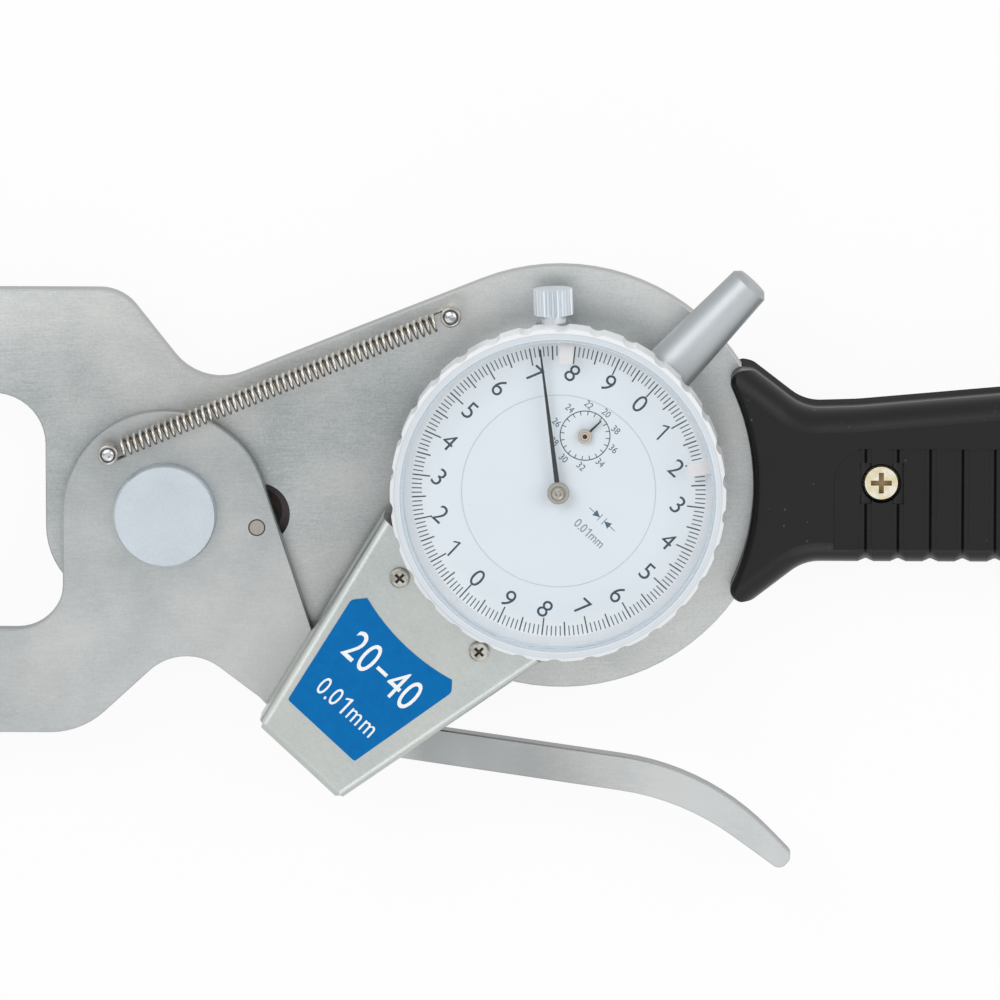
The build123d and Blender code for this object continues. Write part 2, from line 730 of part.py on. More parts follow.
cap_round = 0.9
with BuildPart() as spindle_cap:
    with BuildSketch(dial_plane(spindle_level)):
        with BuildLine():
            bore_end = bush_inside + bush_length
            Polyline(
                (bush_radius, cap_start),
                (cap_radius, cap_start),
                (cap_end_radius, cap_end - cap_round),
                (cap_end_radius - cap_round, cap_end),
                (0, cap_end),
                (0, cap_end - cap_roof),
                (cap_bore, cap_end - cap_roof),
                (cap_bore, bore_end),
                (bush_radius, bore_end),
                close=True,
            )
        make_face()
    revolve(axis=Axis((dial_x, dial_y, spindle_level), (axis_v[0], axis_v[1], 0)))
spindle_cap.part.label = "spindle_cap"
export_step(spindle_cap.part, "parts/spindle_cap.step")

# Spindle with its rack, and the ball-ended contact point screwed into its foot
pinion_radius = rack_pinion_teeth * rack_pitch / (2 * pi)
tooth_depth = 0.36
rack_backlash = 0.03
arbor_across = -3.3
gear_distance = gear_module * (gear_teeth + centre_teeth) / 2
arbor_along = sqrt(gear_distance**2 - arbor_across**2)
rack_line = arbor_across + pinion_radius
spindle_foot = 5.0  # from the ball's centre to the spindle's end
rack_down = 26.5 * rack_pitch  # a gap stands level with the pinion at rest
rack_up = 4.5 * rack_pitch
guide_pin_radius = 0.6
guide_pin_along = -12.0
guide_slot_clearance = 0.1
guide_pin_gap = 0.3  # from the pin's end to the case's floor
spindle_travel = lever_arm * 2 * tan(radians(swing / 2))
movement_level = case_bottom
rack_width = 2 * spindle_radius + overrun
with BuildPart() as spindle:
    with BuildSketch(spindle_plane(ball_along + spindle_foot)):
        Circle(spindle_radius)
    extrude(amount=spindle_top - ball_along - spindle_foot)
    chamfer(spindle.faces().filter_by(GeomType.PLANE).sort_by(Axis.Y)[-1].edges(), edge_break)
    with BuildSketch(dial_plane(spindle_level - rack_width / 2)):
        with BuildLine():
            floor_line = rack_line + tooth_depth / 2 + rack_backlash
            outside = -spindle_radius - overrun
            tooth_share = 0.25
            points = [(outside, arbor_along - rack_down)]
            for i in range(round((rack_down + rack_up) / rack_pitch)):
                gap = arbor_along - rack_down + (i + 0.5) * rack_pitch
                side = floor_line - tooth_depth - rack_backlash
                points.append((side, gap - (0.5 - tooth_share / 2) * rack_pitch))
                points.append((floor_line, gap - tooth_share / 2 * rack_pitch))
                points.append((floor_line, gap + tooth_share / 2 * rack_pitch))
                points.append((side, gap + (0.5 - tooth_share / 2) * rack_pitch))
            points.append((outside, arbor_along + rack_up))
            Polyline(*points, close=True)
        make_face()
    extrude(amount=rack_width, mode=Mode.SUBTRACT)
    pin_x, pin_y = at_dial(0, guide_pin_along)
    with BuildSketch(Plane(origin=(pin_x, pin_y, spindle_level), z_dir=(0, 0, -1))):
        Circle(guide_pin_radius)
    extrude(amount=spindle_level - movement_level - guide_pin_gap)
spindle.part.label = "spindle"
export_step(spindle.part, "parts/spindle.step")

point_radius = 1.8
point_shoulder = 1.2
with BuildPart() as contact_point:
    point_plane = Plane(origin=(ball_x, ball_y, spindle_level), x_dir=(0, 0, 1),
                        z_dir=(-axis_u[0], -axis_u[1], 0))
    with BuildSketch(point_plane):
        with BuildLine():
            half = contact_ball_radius / sqrt(2)
            ThreePointArc((0, -contact_ball_radius), (half, -half), (contact_ball_radius, 0))
            shoulder = spindle_foot - point_shoulder
            Polyline((contact_ball_radius, 0), (point_radius, shoulder), (point_radius, spindle_foot),
                     (0, spindle_foot), (0, -contact_ball_radius))
        make_face()
    revolve(axis=Axis((ball_x, ball_y, spindle_level), (axis_v[0], axis_v[1], 0)))
contact_point.part.label = "contact_point"
export_step(contact_point.part, "parts/contact_point.step")

# Movement: lower plate with the guide slot, pillars, and the bridge that carries the arbors
slot_margin = 0.9
pillar_radius = 1.8
movement_clearance = 0.1
movement_radius = case_radius - case_wall - movement_clearance
pillar_circle = 18.2
pillar_angles = (213.7, 319.4, 37.2)  # from across, in degrees
pillar_places = [(pillar_circle * cos(radians(angle)), pillar_circle * sin(radians(angle)))
                 for angle in pillar_angles]
bridge_margin = 3.5  # metal round a pillar
bridge_corner_across = 2.4 * arbor_across
with BuildPart() as movement_plate:
    with BuildSketch(dial_plane(movement_level)):
        Circle(movement_radius)
        with Locations((arbor_across, arbor_along)):
            Circle(arbor_radius + running_clearance, mode=Mode.SUBTRACT)
        with Locations((0, guide_pin_along + spindle_travel / 2)):
            SlotOverall(spindle_travel + 2 * slot_margin, 2 * (guide_pin_radius + guide_slot_clearance),
                        rotation=90, mode=Mode.SUBTRACT)
    extrude(amount=movement_plate_thickness)
movement_plate.part.label = "movement_plate"
export_step(movement_plate.part, "parts/movement_plate.step")

with BuildPart() as movement_pillars:
    with BuildSketch(dial_plane(movement_level + movement_plate_thickness)):
        with Locations(*pillar_places):
            Circle(pillar_radius)
    extrude(amount=bridge_level - movement_level - movement_plate_thickness)
movement_pillars.part.label = "movement_pillars"
export_step(movement_pillars.part, "parts/movement_pillars.step")

with BuildPart() as movement_bridge:
    with BuildSketch(dial_plane(bridge_level)):
        with BuildLine():
            lower_left, lower_right, upper_right = pillar_places
            rounded_outline([
                (lower_left[0] - bridge_margin, lower_left[1] - bridge_margin, bridge_margin),
                (lower_right[0] + bridge_margin, lower_right[1] - bridge_margin, bridge_margin),
                (upper_right[0] + bridge_margin, upper_right[1] + bridge_margin, bridge_margin),
                (bridge_corner_across, upper_right[1] + bridge_margin, bridge_margin),
            ])
        make_face()
        Circle(arbor_radius + running_clearance, mode=Mode.SUBTRACT)
        with Locations((arbor_across, arbor_along)):
            Circle(arbor_radius + running_clearance, mode=Mode.SUBTRACT)
    extrude(amount=bridge_thickness)
movement_bridge.part.label = "movement_bridge"
export_step(movement_bridge.part, "parts/movement_bridge.step")

# Gear train: the rack turns the small pinion and large gear; the gear turns the centre pinion
gear_gap = 0.4  # over the spindle
gear_level = spindle_level + spindle_radius + gear_gap
gear_addendum = 0.15
gear_dedendum = 0.22
pinion_dedendum = 0.25
small_hand_level = 25.9
pointer_level = 27.1
needle_thickness = 0.3
hub_chamfer = 0.15
mesh_angle = atan2(-arbor_along, -arbor_across)
arbor_end_gap = 0.1
pinion_overlap = 0.1  # how far the centre pinion passes the gear on each side
rack_tooth_shares = (0.6, 0.2)  # root and tip of a tooth, in tooth angles
gear_tooth_shares = (0.55, 0.2)
gear_radius = gear_module * gear_teeth / 2
centre_radius = gear_module * centre_teeth / 2
arbor_place = at_dial(arbor_across, arbor_along)


def arbor_plane(level):
    """The rack gear's own plane at a level, turned as the dial's is."""
    return Plane(origin=(*arbor_place, level), x_dir=(axis_u[0], axis_u[1], 0), z_dir=(0, 0, 1))


with BuildPart() as rack_gear:
    with BuildSketch(arbor_plane(movement_level + arbor_end_gap)):
        Circle(arbor_radius)
    extrude(amount=small_hand_level - movement_level - arbor_end_gap)
    with BuildSketch(arbor_plane(spindle_level - rack_pinion_width / 2)):
        with BuildLine():
            toothed_outline(rack_pinion_teeth, pinion_radius - pinion_dedendum, pinion_radius + gear_addendum,
                            *rack_tooth_shares, 0)
        make_face()
    extrude(amount=rack_pinion_width)
    with BuildSketch(arbor_plane(gear_level)):
        with BuildLine():
            toothed_outline(gear_teeth, gear_radius - gear_dedendum, gear_radius + gear_addendum,
                            *gear_tooth_shares, mesh_angle)
        make_face()
    extrude(amount=gear_thickness)
rack_gear.part.label = "rack_gear"
export_step(rack_gear.part, "parts/rack_gear.step")

with BuildPart() as centre_pinion:
    with BuildSketch(dial_plane(gear_level - pinion_overlap)):
        with BuildLine():
            toothed_outline(centre_teeth, centre_radius - gear_dedendum, centre_radius + gear_addendum,
                            *gear_tooth_shares, mesh_angle + pi + pi / centre_teeth)
        make_face()
    extrude(amount=gear_thickness + 2 * pinion_overlap)
    with BuildSketch(dial_plane(gear_level)):
        Circle(arbor_radius)
    extrude(amount=pointer_level - gear_level)
centre_pinion.part.label = "centre_pinion"
export_step(centre_pinion.part, "parts/centre_pinion.step")

# Hands
needle_length = 25.2
needle_root = 0.45
needle_tip = 0.14
pointer_hub_radius = 1.9
pointer_hub_height = 1.0
pointer_angle = 97.2
small_hand_length = 3.9
small_hand_root = 0.25
small_hand_tip = 0.12
small_hub_radius = 1.2
small_hub_height = 0.6
small_hand_angle = 44.0


def hand(level, place, angle, length, root, tip, hub_radius_here, hub_height):
    """Build a tapered hand and its round hub, at an angle from +X."""
    x, y = place
    way_x, way_y = cos(radians(angle)), sin(radians(angle))
    with BuildPart() as piece:
        with BuildSketch(Plane.XY.offset(level)):
            with Locations(place):
                Circle(hub_radius_here)
        extrude(amount=hub_height)
        chamfer(piece.faces().sort_by(Axis.Z)[-1].edges(), hub_chamfer)
        with BuildSketch(Plane(origin=(x, y, level), x_dir=(way_x, way_y, 0), z_dir=(0, 0, 1))):
            with BuildLine():
                Polyline((0, -root), (length, -tip), (length, tip), (0, root), close=True)
            make_face()
        extrude(amount=needle_thickness)
    return piece.part


main_pointer = hand(pointer_level, (dial_x, dial_y), pointer_angle, needle_length, needle_root, needle_tip,
                    pointer_hub_radius, pointer_hub_height)
main_pointer.label = "main_pointer"
export_step(main_pointer, "parts/main_pointer.step")
revolution_hand = hand(small_hand_level, arbor_place, small_hand_angle, small_hand_length,
                       small_hand_root, small_hand_tip, small_hub_radius, small_hub_height)
revolution_hand.label = "revolution_hand"
export_step(revolution_hand, "parts/revolution_hand.step")

# Dial: a fixed disc on two feet, and the scale ring that turns with the bezel
dial_level = case_top + dial_stand_off
dial_hole_radius = 0.8
ring_gap = 0.15
foot_radius = 0.6
foot_across = 10.0
foot_along = 8.0
with BuildPart() as inner_dial:
    with BuildSketch(dial_plane(dial_level)):
        Circle(inner_dial_radius)
        Circle(dial_hole_radius, mode=Mode.SUBTRACT)
        with Locations((arbor_across, arbor_along)):
            Circle(dial_hole_radius, mode=Mode.SUBTRACT)
    extrude(amount=dial_thickness)
    with BuildSketch(dial_plane(bridge_level + bridge_thickness)):
        with Locations((-foot_across, -foot_along), (foot_across, -foot_along)):
            Circle(foot_radius)
    extrude(amount=dial_level - bridge_level - bridge_thickness)
inner_dial.part.label = "inner_dial"
export_step(inner_dial.part, "parts/inner_dial.step")

with BuildPart() as scale_ring:
    with BuildSketch(dial_plane(dial_level)):
        Circle(scale_radius)
        Circle(inner_dial_radius + ring_gap, mode=Mode.SUBTRACT)
    extrude(amount=dial_thickness)
scale_ring.part.label = "scale_ring"
export_step(scale_ring.part, "parts/scale_ring.step")

# Bezel: scalloped ring that laps the case, seats the scale ring on a lip and the crystal on a ledge
crystal_sink = 0.4  # below the bezel's rim
crystal_level = bezel_top - crystal_thickness - crystal_sink
lip_width = 0.7
lip_radius = scale_radius - lip_width
rim_gap = 0.1  # over the case's rim
groove_inset = 0.2
ledge = 0.4
bezel_chamfer = 0.8
groove_drop = 0.8  # below the crystal
groove_level = crystal_level - groove_drop
groove_height = 0.5
marker_clearance = 0.05
scallop_radius = 2.0
with BuildPart() as bezel:
    with BuildSketch(Plane(origin=(dial_x, dial_y, 0), x_dir=(1, 0, 0), z_dir=(0, -1, 0))):
        with BuildLine():
            Polyline(
                (bezel_inner, bezel_bottom),
                (bezel_radius, bezel_bottom),
                (bezel_radius, bezel_top - bezel_chamfer),
                (bezel_radius - bezel_chamfer, bezel_top),
                (crystal_radius, bezel_top),
                (crystal_radius, crystal_level),
                (crystal_radius - ledge, crystal_level),
                (scale_radius, dial_level + dial_thickness),
                (scale_radius, dial_level),
                (lip_radius, dial_level),
                (lip_radius, case_top + rim_gap),
                (bezel_inner, case_top + rim_gap),
                close=True,
            )
        make_face()
    revolve(axis=Axis((dial_x, dial_y, 0), (0, 0, 1)))
    with BuildSketch(dial_plane(bezel_bottom)):
        with PolarLocations(bezel_radius + scallop_radius - scallop_depth, bezel_scallops):
            Circle(scallop_radius)
    extrude(amount=bezel_height, mode=Mode.SUBTRACT)
    with BuildSketch(dial_plane(groove_level)):
        Circle(crystal_radius - groove_inset)
    extrude(amount=groove_height, mode=Mode.SUBTRACT)
bezel.part.label = "bezel"
export_step(bezel.part, "parts/bezel.step")

with BuildPart() as crystal:
    with BuildSketch(dial_plane(crystal_level)):
        Circle(crystal_radius)
    extrude(amount=crystal_thickness)
    chamfer(crystal.faces().sort_by(Axis.Z)[-1].edges(), edge_break)
crystal.part.label = "crystal"
export_step(crystal.part, "parts/crystal.step")

# Tolerance markers: thin tabs that slide in the bezel's groove, given clockwise from +Y
marker_half_width = 1.2
marker_length = 4.5  # from the crystal's rim to the tab's end
marker_inner = crystal_radius - marker_length
marker_places = {"tolerance_marker_a": 3.3, "tolerance_marker_b": 79.3}
for marker_name, clockwise in marker_places.items():
    way = (sin(radians(clockwise)), cos(radians(clockwise)))
    with BuildPart() as marker:
        with BuildSketch(Plane(origin=(dial_x, dial_y, groove_level + marker_clearance),
                               x_dir=(way[0], way[1], 0), z_dir=(0, 0, 1))):
            Circle(crystal_radius - groove_inset - marker_clearance)
            with Locations(((marker_inner + crystal_radius) / 2, 0)):
                Rectangle(crystal_radius - marker_inner, 2 * marker_half_width, mode=Mode.INTERSECT)
        extrude(amount=groove_height - 2 * marker_clearance)
    marker.part.label = marker_name
    export_step(marker.part, "parts/" + marker_name + ".step")

# Clamp screw with its knurled knob, and the washer that it presses on
knob_radius = 3.4
knob_neck_radius = 2.1
knob_neck_length = 1.4
knob_length = 4.5
knob_teeth = 24
knurl_depth = 0.3
knurl_shares = (0.9, 0.3)
washer_radius = 3.1
washer_gap = 1.4  # from the case's outside to the washer
washer_thickness = 0.7
washer_start = case_radius + washer_gap
knob_start = washer_start + washer_thickness + knob_neck_length
with BuildPart() as clamp_knob:
    with BuildSketch(clamp_plane(case_radius - case_wall)):
        Circle(clamp_thread_radius)
    extrude(amount=knob_start - case_radius + case_wall)
    with BuildSketch(clamp_plane(washer_start + washer_thickness)):
        Circle(knob_neck_radius)
    extrude(amount=knob_neck_length)
    with BuildSketch(clamp_plane(knob_start)):
        with BuildLine():
            toothed_outline(knob_teeth, knob_radius - knurl_depth, knob_radius, *knurl_shares, 0)
        make_face()
    extrude(amount=knob_length)
clamp_knob.part.label = "clamp_knob"
export_step(clamp_knob.part, "parts/clamp_knob.step")

with BuildPart() as clamp_washer:
    with BuildSketch(clamp_plane(washer_start)):
        Circle(washer_radius)
        Circle(clamp_thread_radius + running_clearance, mode=Mode.SUBTRACT)
    extrude(amount=washer_thickness)
clamp_washer.part.label = "clamp_washer"
export_step(clamp_washer.part, "parts/clamp_washer.step")

# Sheet cover over the spindle's foot: a tapered box open at the case, bent at its three edges
cover_slope = (cover_wide_half - cover_end_half) / (cover_end - cover_wide)
cover_inside = 20.0  # where the folded outline is carried on to, under the bezel
cover_inside_half = cover_wide_half + cover_slope * (cover_wide - cover_inside)
relief_radius = 0.9
cover_clearance = 0.3  # round the case
post_screw_radius = 1.0
post_bore_depth = 5.0
post_screw_reach = 4.0
post_places = [(-cover_screw_across, -cover_screw_along), (cover_screw_across, -cover_screw_along)]


def cover_outline():
    """Draw the folded sheet's outside, seen from the front."""
    Polyline(
        (-cover_inside_half, -cover_inside),
        (-cover_end_half, -cover_end),
        (cover_end_half, -cover_end),
        (cover_inside_half, -cover_inside),
        close=True,
    )


with BuildPart() as cover:
    with BuildSketch(dial_plane(cover_bottom)):
        with BuildLine():
            cover_outline()
        make_face()
    extrude(amount=cover_top - cover_bottom)
    top_edges = cover.faces().sort_by(Axis.Z)[-1].edges()
    far_edge = top_edges.sort_by_distance((dial_x, dial_y, cover_top))[0]
    fillet([edge for edge in top_edges if edge != far_edge], cover_bend)
    with BuildSketch(dial_plane(cover_bottom)):
        with BuildLine():
            cover_outline()
        make_face()
        offset(amount=-cover_thickness, kind=Kind.INTERSECTION, mode=Mode.REPLACE)
    extrude(amount=cover_top - cover_thickness - cover_bottom, mode=Mode.SUBTRACT)
    with BuildSketch(dial_plane(cover_bottom)):
        with Locations((0, -cover_wide / 2)):
            Rectangle(4 * cover_wide_half, cover_wide)
        Circle(case_radius + cover_clearance)
        with Locations((-cover_end_half, -cover_end), (cover_end_half, -cover_end)):
            Circle(relief_radius)
        with Locations(*post_places):
            Circle(post_screw_radius)
    extrude(amount=cover_top - cover_bottom, mode=Mode.SUBTRACT)
cover.part.label = "cover"
export_step(cover.part, "parts/cover.step")

with BuildPart() as cover_posts:
    with BuildSketch(dial_plane(plate_front)):
        with Locations(*post_places):
            Circle(cover_post_radius)
    extrude(amount=cover_top - cover_thickness - plate_front)
    with BuildSketch(dial_plane(cover_top - cover_thickness - post_bore_depth)):
        with Locations(*post_places):
            Circle(post_screw_radius)
    extrude(amount=post_bore_depth, mode=Mode.SUBTRACT)
cover_posts.part.label = "cover_posts"
export_step(cover_posts.part, "parts/cover_posts.step")

# Cross-recessed screws
recess_share = 0.28  # width of a recess's arm, in head radii
recess_span = 1.15
recess_depth = 0.6  # in head heights
head_chamfer = 0.3


def cross_screws(places, plane_at, head_level, head_radius, head_height, shank_radius, shank_length):
    """Build pan-head screws with a cross recess, one at each place on the given plane."""
    with BuildPart() as screws:
        with BuildSketch(plane_at(head_level - shank_length)):
            with Locations(*places):
                Circle(shank_radius)
        extrude(amount=shank_length)
        with BuildSketch(plane_at(head_level)):
            with Locations(*places):
                Circle(head_radius)
        extrude(amount=head_height)
        chamfer(screws.faces().group_by(Axis.Z)[-1].edges(), head_chamfer)
        with BuildSketch(plane_at(head_level + head_height)):
            with Locations(*places):
                Rectangle(recess_span * head_radius, recess_share * head_radius)
                Rectangle(recess_share * head_radius, recess_span * head_radius)
        extrude(amount=-head_height * recess_depth, mode=Mode.SUBTRACT)
    return screws.part


cover_screw_head = 1.75
cover_screw_height = 1.0
cover_screws = cross_screws(post_places, dial_plane, cover_top, cover_screw_head, cover_screw_height,
                            post_screw_radius, cover_thickness + post_screw_reach)
cover_screws.label = "cover_screws"
export_step(cover_screws, "parts/cover_screws.step")

# Range plate stuck on the cover: its upper edge is an arc about the dial's centre
label_across = -1.0
label_half_end = 7.9
label_half_top = 11.9
label_end = 59.2
label_side_end = 38.8
label_arc_gap = 9.3  # from the bezel to the plate's upper edge
label_arc_radius = bezel_radius + label_arc_gap
label_thickness = 0.15
label_corner = 0.5
label_shoulder = 1.3  # radius of its four upper corners
label_nip_across = 2.6
label_nip_along = 3.0
with BuildPart() as range_label:
    with BuildSketch(dial_plane(cover_top)):
        with BuildLine():
            rounded_outline([
                (label_across - label_half_end, -label_end, label_corner),
                (label_across + label_half_end, -label_end, label_corner),
                (label_across + label_half_top, -label_side_end, label_shoulder),
                (label_across + label_half_top - label_nip_across, label_nip_along - label_side_end, 0),
                (label_across - label_half_top + label_nip_across, label_nip_along - label_side_end, 0),
                (label_across - label_half_top, -label_side_end, label_shoulder),
            ])
        make_face()
        Circle(label_arc_radius, mode=Mode.SUBTRACT)
    extrude(amount=label_thickness)
range_label.part.label = "range_label"
export_step(range_label.part, "parts/range_label.step")

# Handle: two moulded shells closed round the tang, ribbed below for the fingers
parting_level = plate_back + plate_thickness / 2
rim_round = 1.6
groove_round = 1.3
rib_bite = 0.9  # depth of a rib's groove in the lower edge
groove_radius = handle_round + groove_round - rib_bite  # of the groove's line round the edge
panel_corner = 6.0
swell_round = 60.0
rise_round = 40.0
rise_run = 9.2  # from the neck to where the upper edge begins to rise
rise_share = 0.1  # of the swell, at the end of that run
end_share = 0.7  # of the swell, at the handle's end
edge_run_on = 1.5  # how far the edge's cutter runs past a horn, in horns' lengths
rib_places = [panel_start + (i + 1) * rib_pitch for i in range(rib_count)]
insert_radius = 2.6
insert_floor = 2.5
lower_horn = (handle_horn_x + horn_length, handle_centre_y - horn_half_height)
upper_horn = (handle_horn_x + horn_length, handle_centre_y + horn_half_height)
outer_edge = [
    (handle_neck_x, handle_centre_y - handle_half_width, neck_radius),
    (handle_length_end, handle_centre_y - handle_half_width, handle_end_round),
    (handle_length_end, handle_centre_y + handle_half_width + end_share * handle_swell, handle_end_round),
    (handle_swell_x, handle_centre_y + handle_half_width + handle_swell, swell_round),
    (handle_neck_x + rise_run, handle_centre_y + handle_half_width + rise_share * handle_swell, rise_round),
    (handle_neck_x, handle_centre_y + handle_half_width, neck_radius),
]
handle_outline = (
    [(handle_horn_x, handle_centre_y - horn_half_height - horn_flare, 0), (*lower_horn, horn_corner)]
    + outer_edge
    + [(*upper_horn, horn_corner), (handle_horn_x, handle_centre_y + horn_half_height + horn_flare, 0)]
)


def past_horn(horn, neck):
    """The end of a flank's line, carried on past its horn."""
    run = hypot(horn[0] - neck[0], horn[1] - neck[1])
    reach = 1 + edge_run_on * horn_length / run
    return (neck[0] + reach * (horn[0] - neck[0]), neck[1] + reach * (horn[1] - neck[1]), 0)


# Cutter that rounds the outer edge from one horn to the other, drawn at the front
edge_start = past_horn(lower_horn, outer_edge[0])
edge_finish = past_horn(upper_horn, outer_edge[-1])
flank_x = outer_edge[0][0] - edge_start[0]
flank_y = outer_edge[0][1] - edge_start[1]
round_plane = Plane(origin=(edge_start[0], edge_start[1], handle_thickness),
                    x_dir=(-flank_y, flank_x, 0), z_dir=(flank_x, flank_y, 0))
with BuildPart() as edge_rounding:
    with BuildLine(Plane.XY.offset(handle_thickness)) as edge_line:
        rounded_outline([edge_start] + outer_edge + [edge_finish], closed=False)
    with BuildSketch(round_plane):
        with BuildLine():
            cut_radius = handle_round * round_excess
            ThreePointArc(
                (handle_round - cut_radius, -handle_round),
                (handle_round - cut_radius / sqrt(2), cut_radius / sqrt(2) - handle_round),
                (handle_round, cut_radius - handle_round),
            )
            Polyline((handle_round, cut_radius - handle_round), (handle_round, overrun), (-overrun, overrun),
                     (-overrun, -handle_round), (handle_round - cut_radius, -handle_round))
        make_face()
    sweep(path=edge_line.wires()[0])


def handle_shell(bottom, top, outer_face, rounding):
    """Build one shell between two levels; outer_face picks its outside, 0 for the back, -1 for the front."""
    with BuildPart() as shell:
        with BuildSketch(Plane.XY.offset(bottom)):
            with BuildLine():
                rounded_outline(handle_outline)
            make_face()
            with Locations((handle_mouth_x, handle_centre_y)):
                Circle(handle_mouth_radius, mode=Mode.SUBTRACT)
            horn_tips = vertices().sort_by(Axis.X)[:2]
            fillet(horn_tips, horn_tip_radius)
        extrude(amount=top - bottom)
        fillet(shell.faces().sort_by(Axis.Z)[outer_face].edges(), rim_round)
        add(rounding, mode=Mode.SUBTRACT)
        with BuildSketch(Plane.XY.offset(plate_back)):
            with Locations((dial_x, dial_y)):
                Circle(disc_radius + tang_clearance)
            with Locations(((dial_x + tang_end) / 2, handle_centre_y)):
                Rectangle(tang_end - dial_x + 2 * tang_clearance, 2 * (tang_half_width + tang_clearance))
        extrude(amount=plate_thickness, mode=Mode.SUBTRACT)
    return shell.part


# Cutter for one rib's groove: across the panel, round the lower edge and down the side
groove_turn_y = handle_centre_y - handle_half_width + handle_round
groove_turn_z = handle_thickness - handle_round
groove_plane = Plane(origin=(0, 0, 0), x_dir=(0, 1, 0), z_dir=(1, 0, 0))
with BuildPart() as rib_groove:
    with BuildLine(groove_plane) as groove_line:
        top_start = (handle_centre_y + panel_top, groove_turn_z + groove_radius)
        turn_start = (groove_turn_y, groove_turn_z + groove_radius)
        turn_middle = (groove_turn_y - groove_radius / sqrt(2), groove_turn_z + groove_radius / sqrt(2))
        turn_finish = (groove_turn_y - groove_radius, groove_turn_z)
        Line(top_start, turn_start)
        ThreePointArc(turn_start, turn_middle, turn_finish)
        Line(turn_finish, (turn_finish[0], parting_level - overrun))
    with BuildSketch(Plane(origin=(0, *top_start), z_dir=(0, -1, 0))):
        Circle(groove_round)
    sweep(path=groove_line.wires()[0])

screw_places = [(x, handle_screw_y) for x in handle_screw_x]
with BuildPart() as handle_front_shell:
    add(handle_shell(parting_level, handle_thickness, -1, edge_rounding.part))
    with BuildSketch(Plane.XY.offset(handle_thickness)):
        with Locations(*screw_places):
            Circle(handle_sink_radius)
    extrude(amount=-handle_sink_depth, mode=Mode.SUBTRACT)
    with BuildSketch(Plane.XY.offset(parting_level)):
        with Locations(*screw_places):
            Circle(handle_screw_radius)
    extrude(amount=handle_thickness - parting_level, mode=Mode.SUBTRACT)
    panel_end = handle_length_end - panel_margin
    panel_bottom = -handle_half_width - overrun
    with BuildSketch(Plane.XY.offset(handle_thickness - panel_depth)):
        with Locations(((panel_start + panel_end) / 2, handle_centre_y + (panel_top + panel_bottom) / 2)):
            Rectangle(panel_end - panel_start, panel_top - panel_bottom)
        upper_corners = vertices().group_by(Axis.Y)[-1]
        fillet(upper_corners, panel_corner)
    extrude(amount=panel_depth, mode=Mode.SUBTRACT)
    for x in rib_places:
        add(rib_groove.part.moved(Location((x, 0, 0))), mode=Mode.SUBTRACT)
handle_front_shell.part.label = "handle_front_shell"
export_step(handle_front_shell.part, "parts/handle_front_shell.step")

back_rounding = mirror(edge_rounding.part, about=Plane.XY.offset(handle_thickness / 2))
with BuildPart() as handle_back_shell:
    add(handle_shell(0, parting_level, 0, back_rounding))
    with BuildSketch():
        for x in rib_places:
            with Locations((x, groove_turn_y - groove_radius)):
                Circle(groove_round)
    extrude(amount=parting_level, mode=Mode.SUBTRACT)
    with BuildSketch(Plane.XY.offset(insert_floor)):
        with Locations(*screw_places):
            Circle(insert_radius)
    extrude(amount=plate_back - insert_floor, mode=Mode.SUBTRACT)
handle_back_shell.part.label = "handle_back_shell"
export_step(handle_back_shell.part, "parts/handle_back_shell.step")

with BuildPart() as handle_inserts:
    with BuildSketch(Plane.XY.offset(insert_floor)):
        with Locations(*screw_places):
            Circle(insert_radius)
            Circle(handle_screw_radius, mode=Mode.SUBTRACT)
    extrude(amount=plate_back - insert_floor)
handle_inserts.part.label = "handle_inserts"
export_step(handle_inserts.part, "parts/handle_inserts.step")

handle_head_level = handle_thickness - handle_sink_depth
handle_head_height = 2.0
handle_screws = cross_screws(screw_places, Plane.XY.offset, handle_head_level, handle_head_radius,
                             handle_head_height, handle_screw_radius, handle_head_level - insert_floor)
handle_screws.label = "handle_screws"
export_step(handle_screws, "parts/handle_screws.step")
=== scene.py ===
# Dial caliper gauge: finishes, printed scales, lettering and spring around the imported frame
import json
import math

import bmesh
import bpy
import numpy as np
from mathutils import Matrix, Vector


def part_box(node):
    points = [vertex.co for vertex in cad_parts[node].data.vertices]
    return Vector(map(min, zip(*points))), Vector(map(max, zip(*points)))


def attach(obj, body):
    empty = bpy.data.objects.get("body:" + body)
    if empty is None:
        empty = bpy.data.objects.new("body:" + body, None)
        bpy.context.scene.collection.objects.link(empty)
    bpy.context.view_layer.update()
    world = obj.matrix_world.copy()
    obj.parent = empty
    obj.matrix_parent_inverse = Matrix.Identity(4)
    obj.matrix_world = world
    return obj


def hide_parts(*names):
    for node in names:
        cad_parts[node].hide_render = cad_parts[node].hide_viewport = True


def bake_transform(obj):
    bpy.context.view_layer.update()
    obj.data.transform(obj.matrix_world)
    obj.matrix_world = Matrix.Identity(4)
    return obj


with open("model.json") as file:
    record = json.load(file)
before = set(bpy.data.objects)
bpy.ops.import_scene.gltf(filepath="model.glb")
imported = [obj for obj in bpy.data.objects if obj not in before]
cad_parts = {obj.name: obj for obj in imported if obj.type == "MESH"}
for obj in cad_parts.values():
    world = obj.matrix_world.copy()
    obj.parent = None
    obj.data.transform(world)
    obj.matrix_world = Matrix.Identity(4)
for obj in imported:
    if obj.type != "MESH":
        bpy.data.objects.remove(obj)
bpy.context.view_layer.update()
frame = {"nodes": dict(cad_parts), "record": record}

mm = 0.001

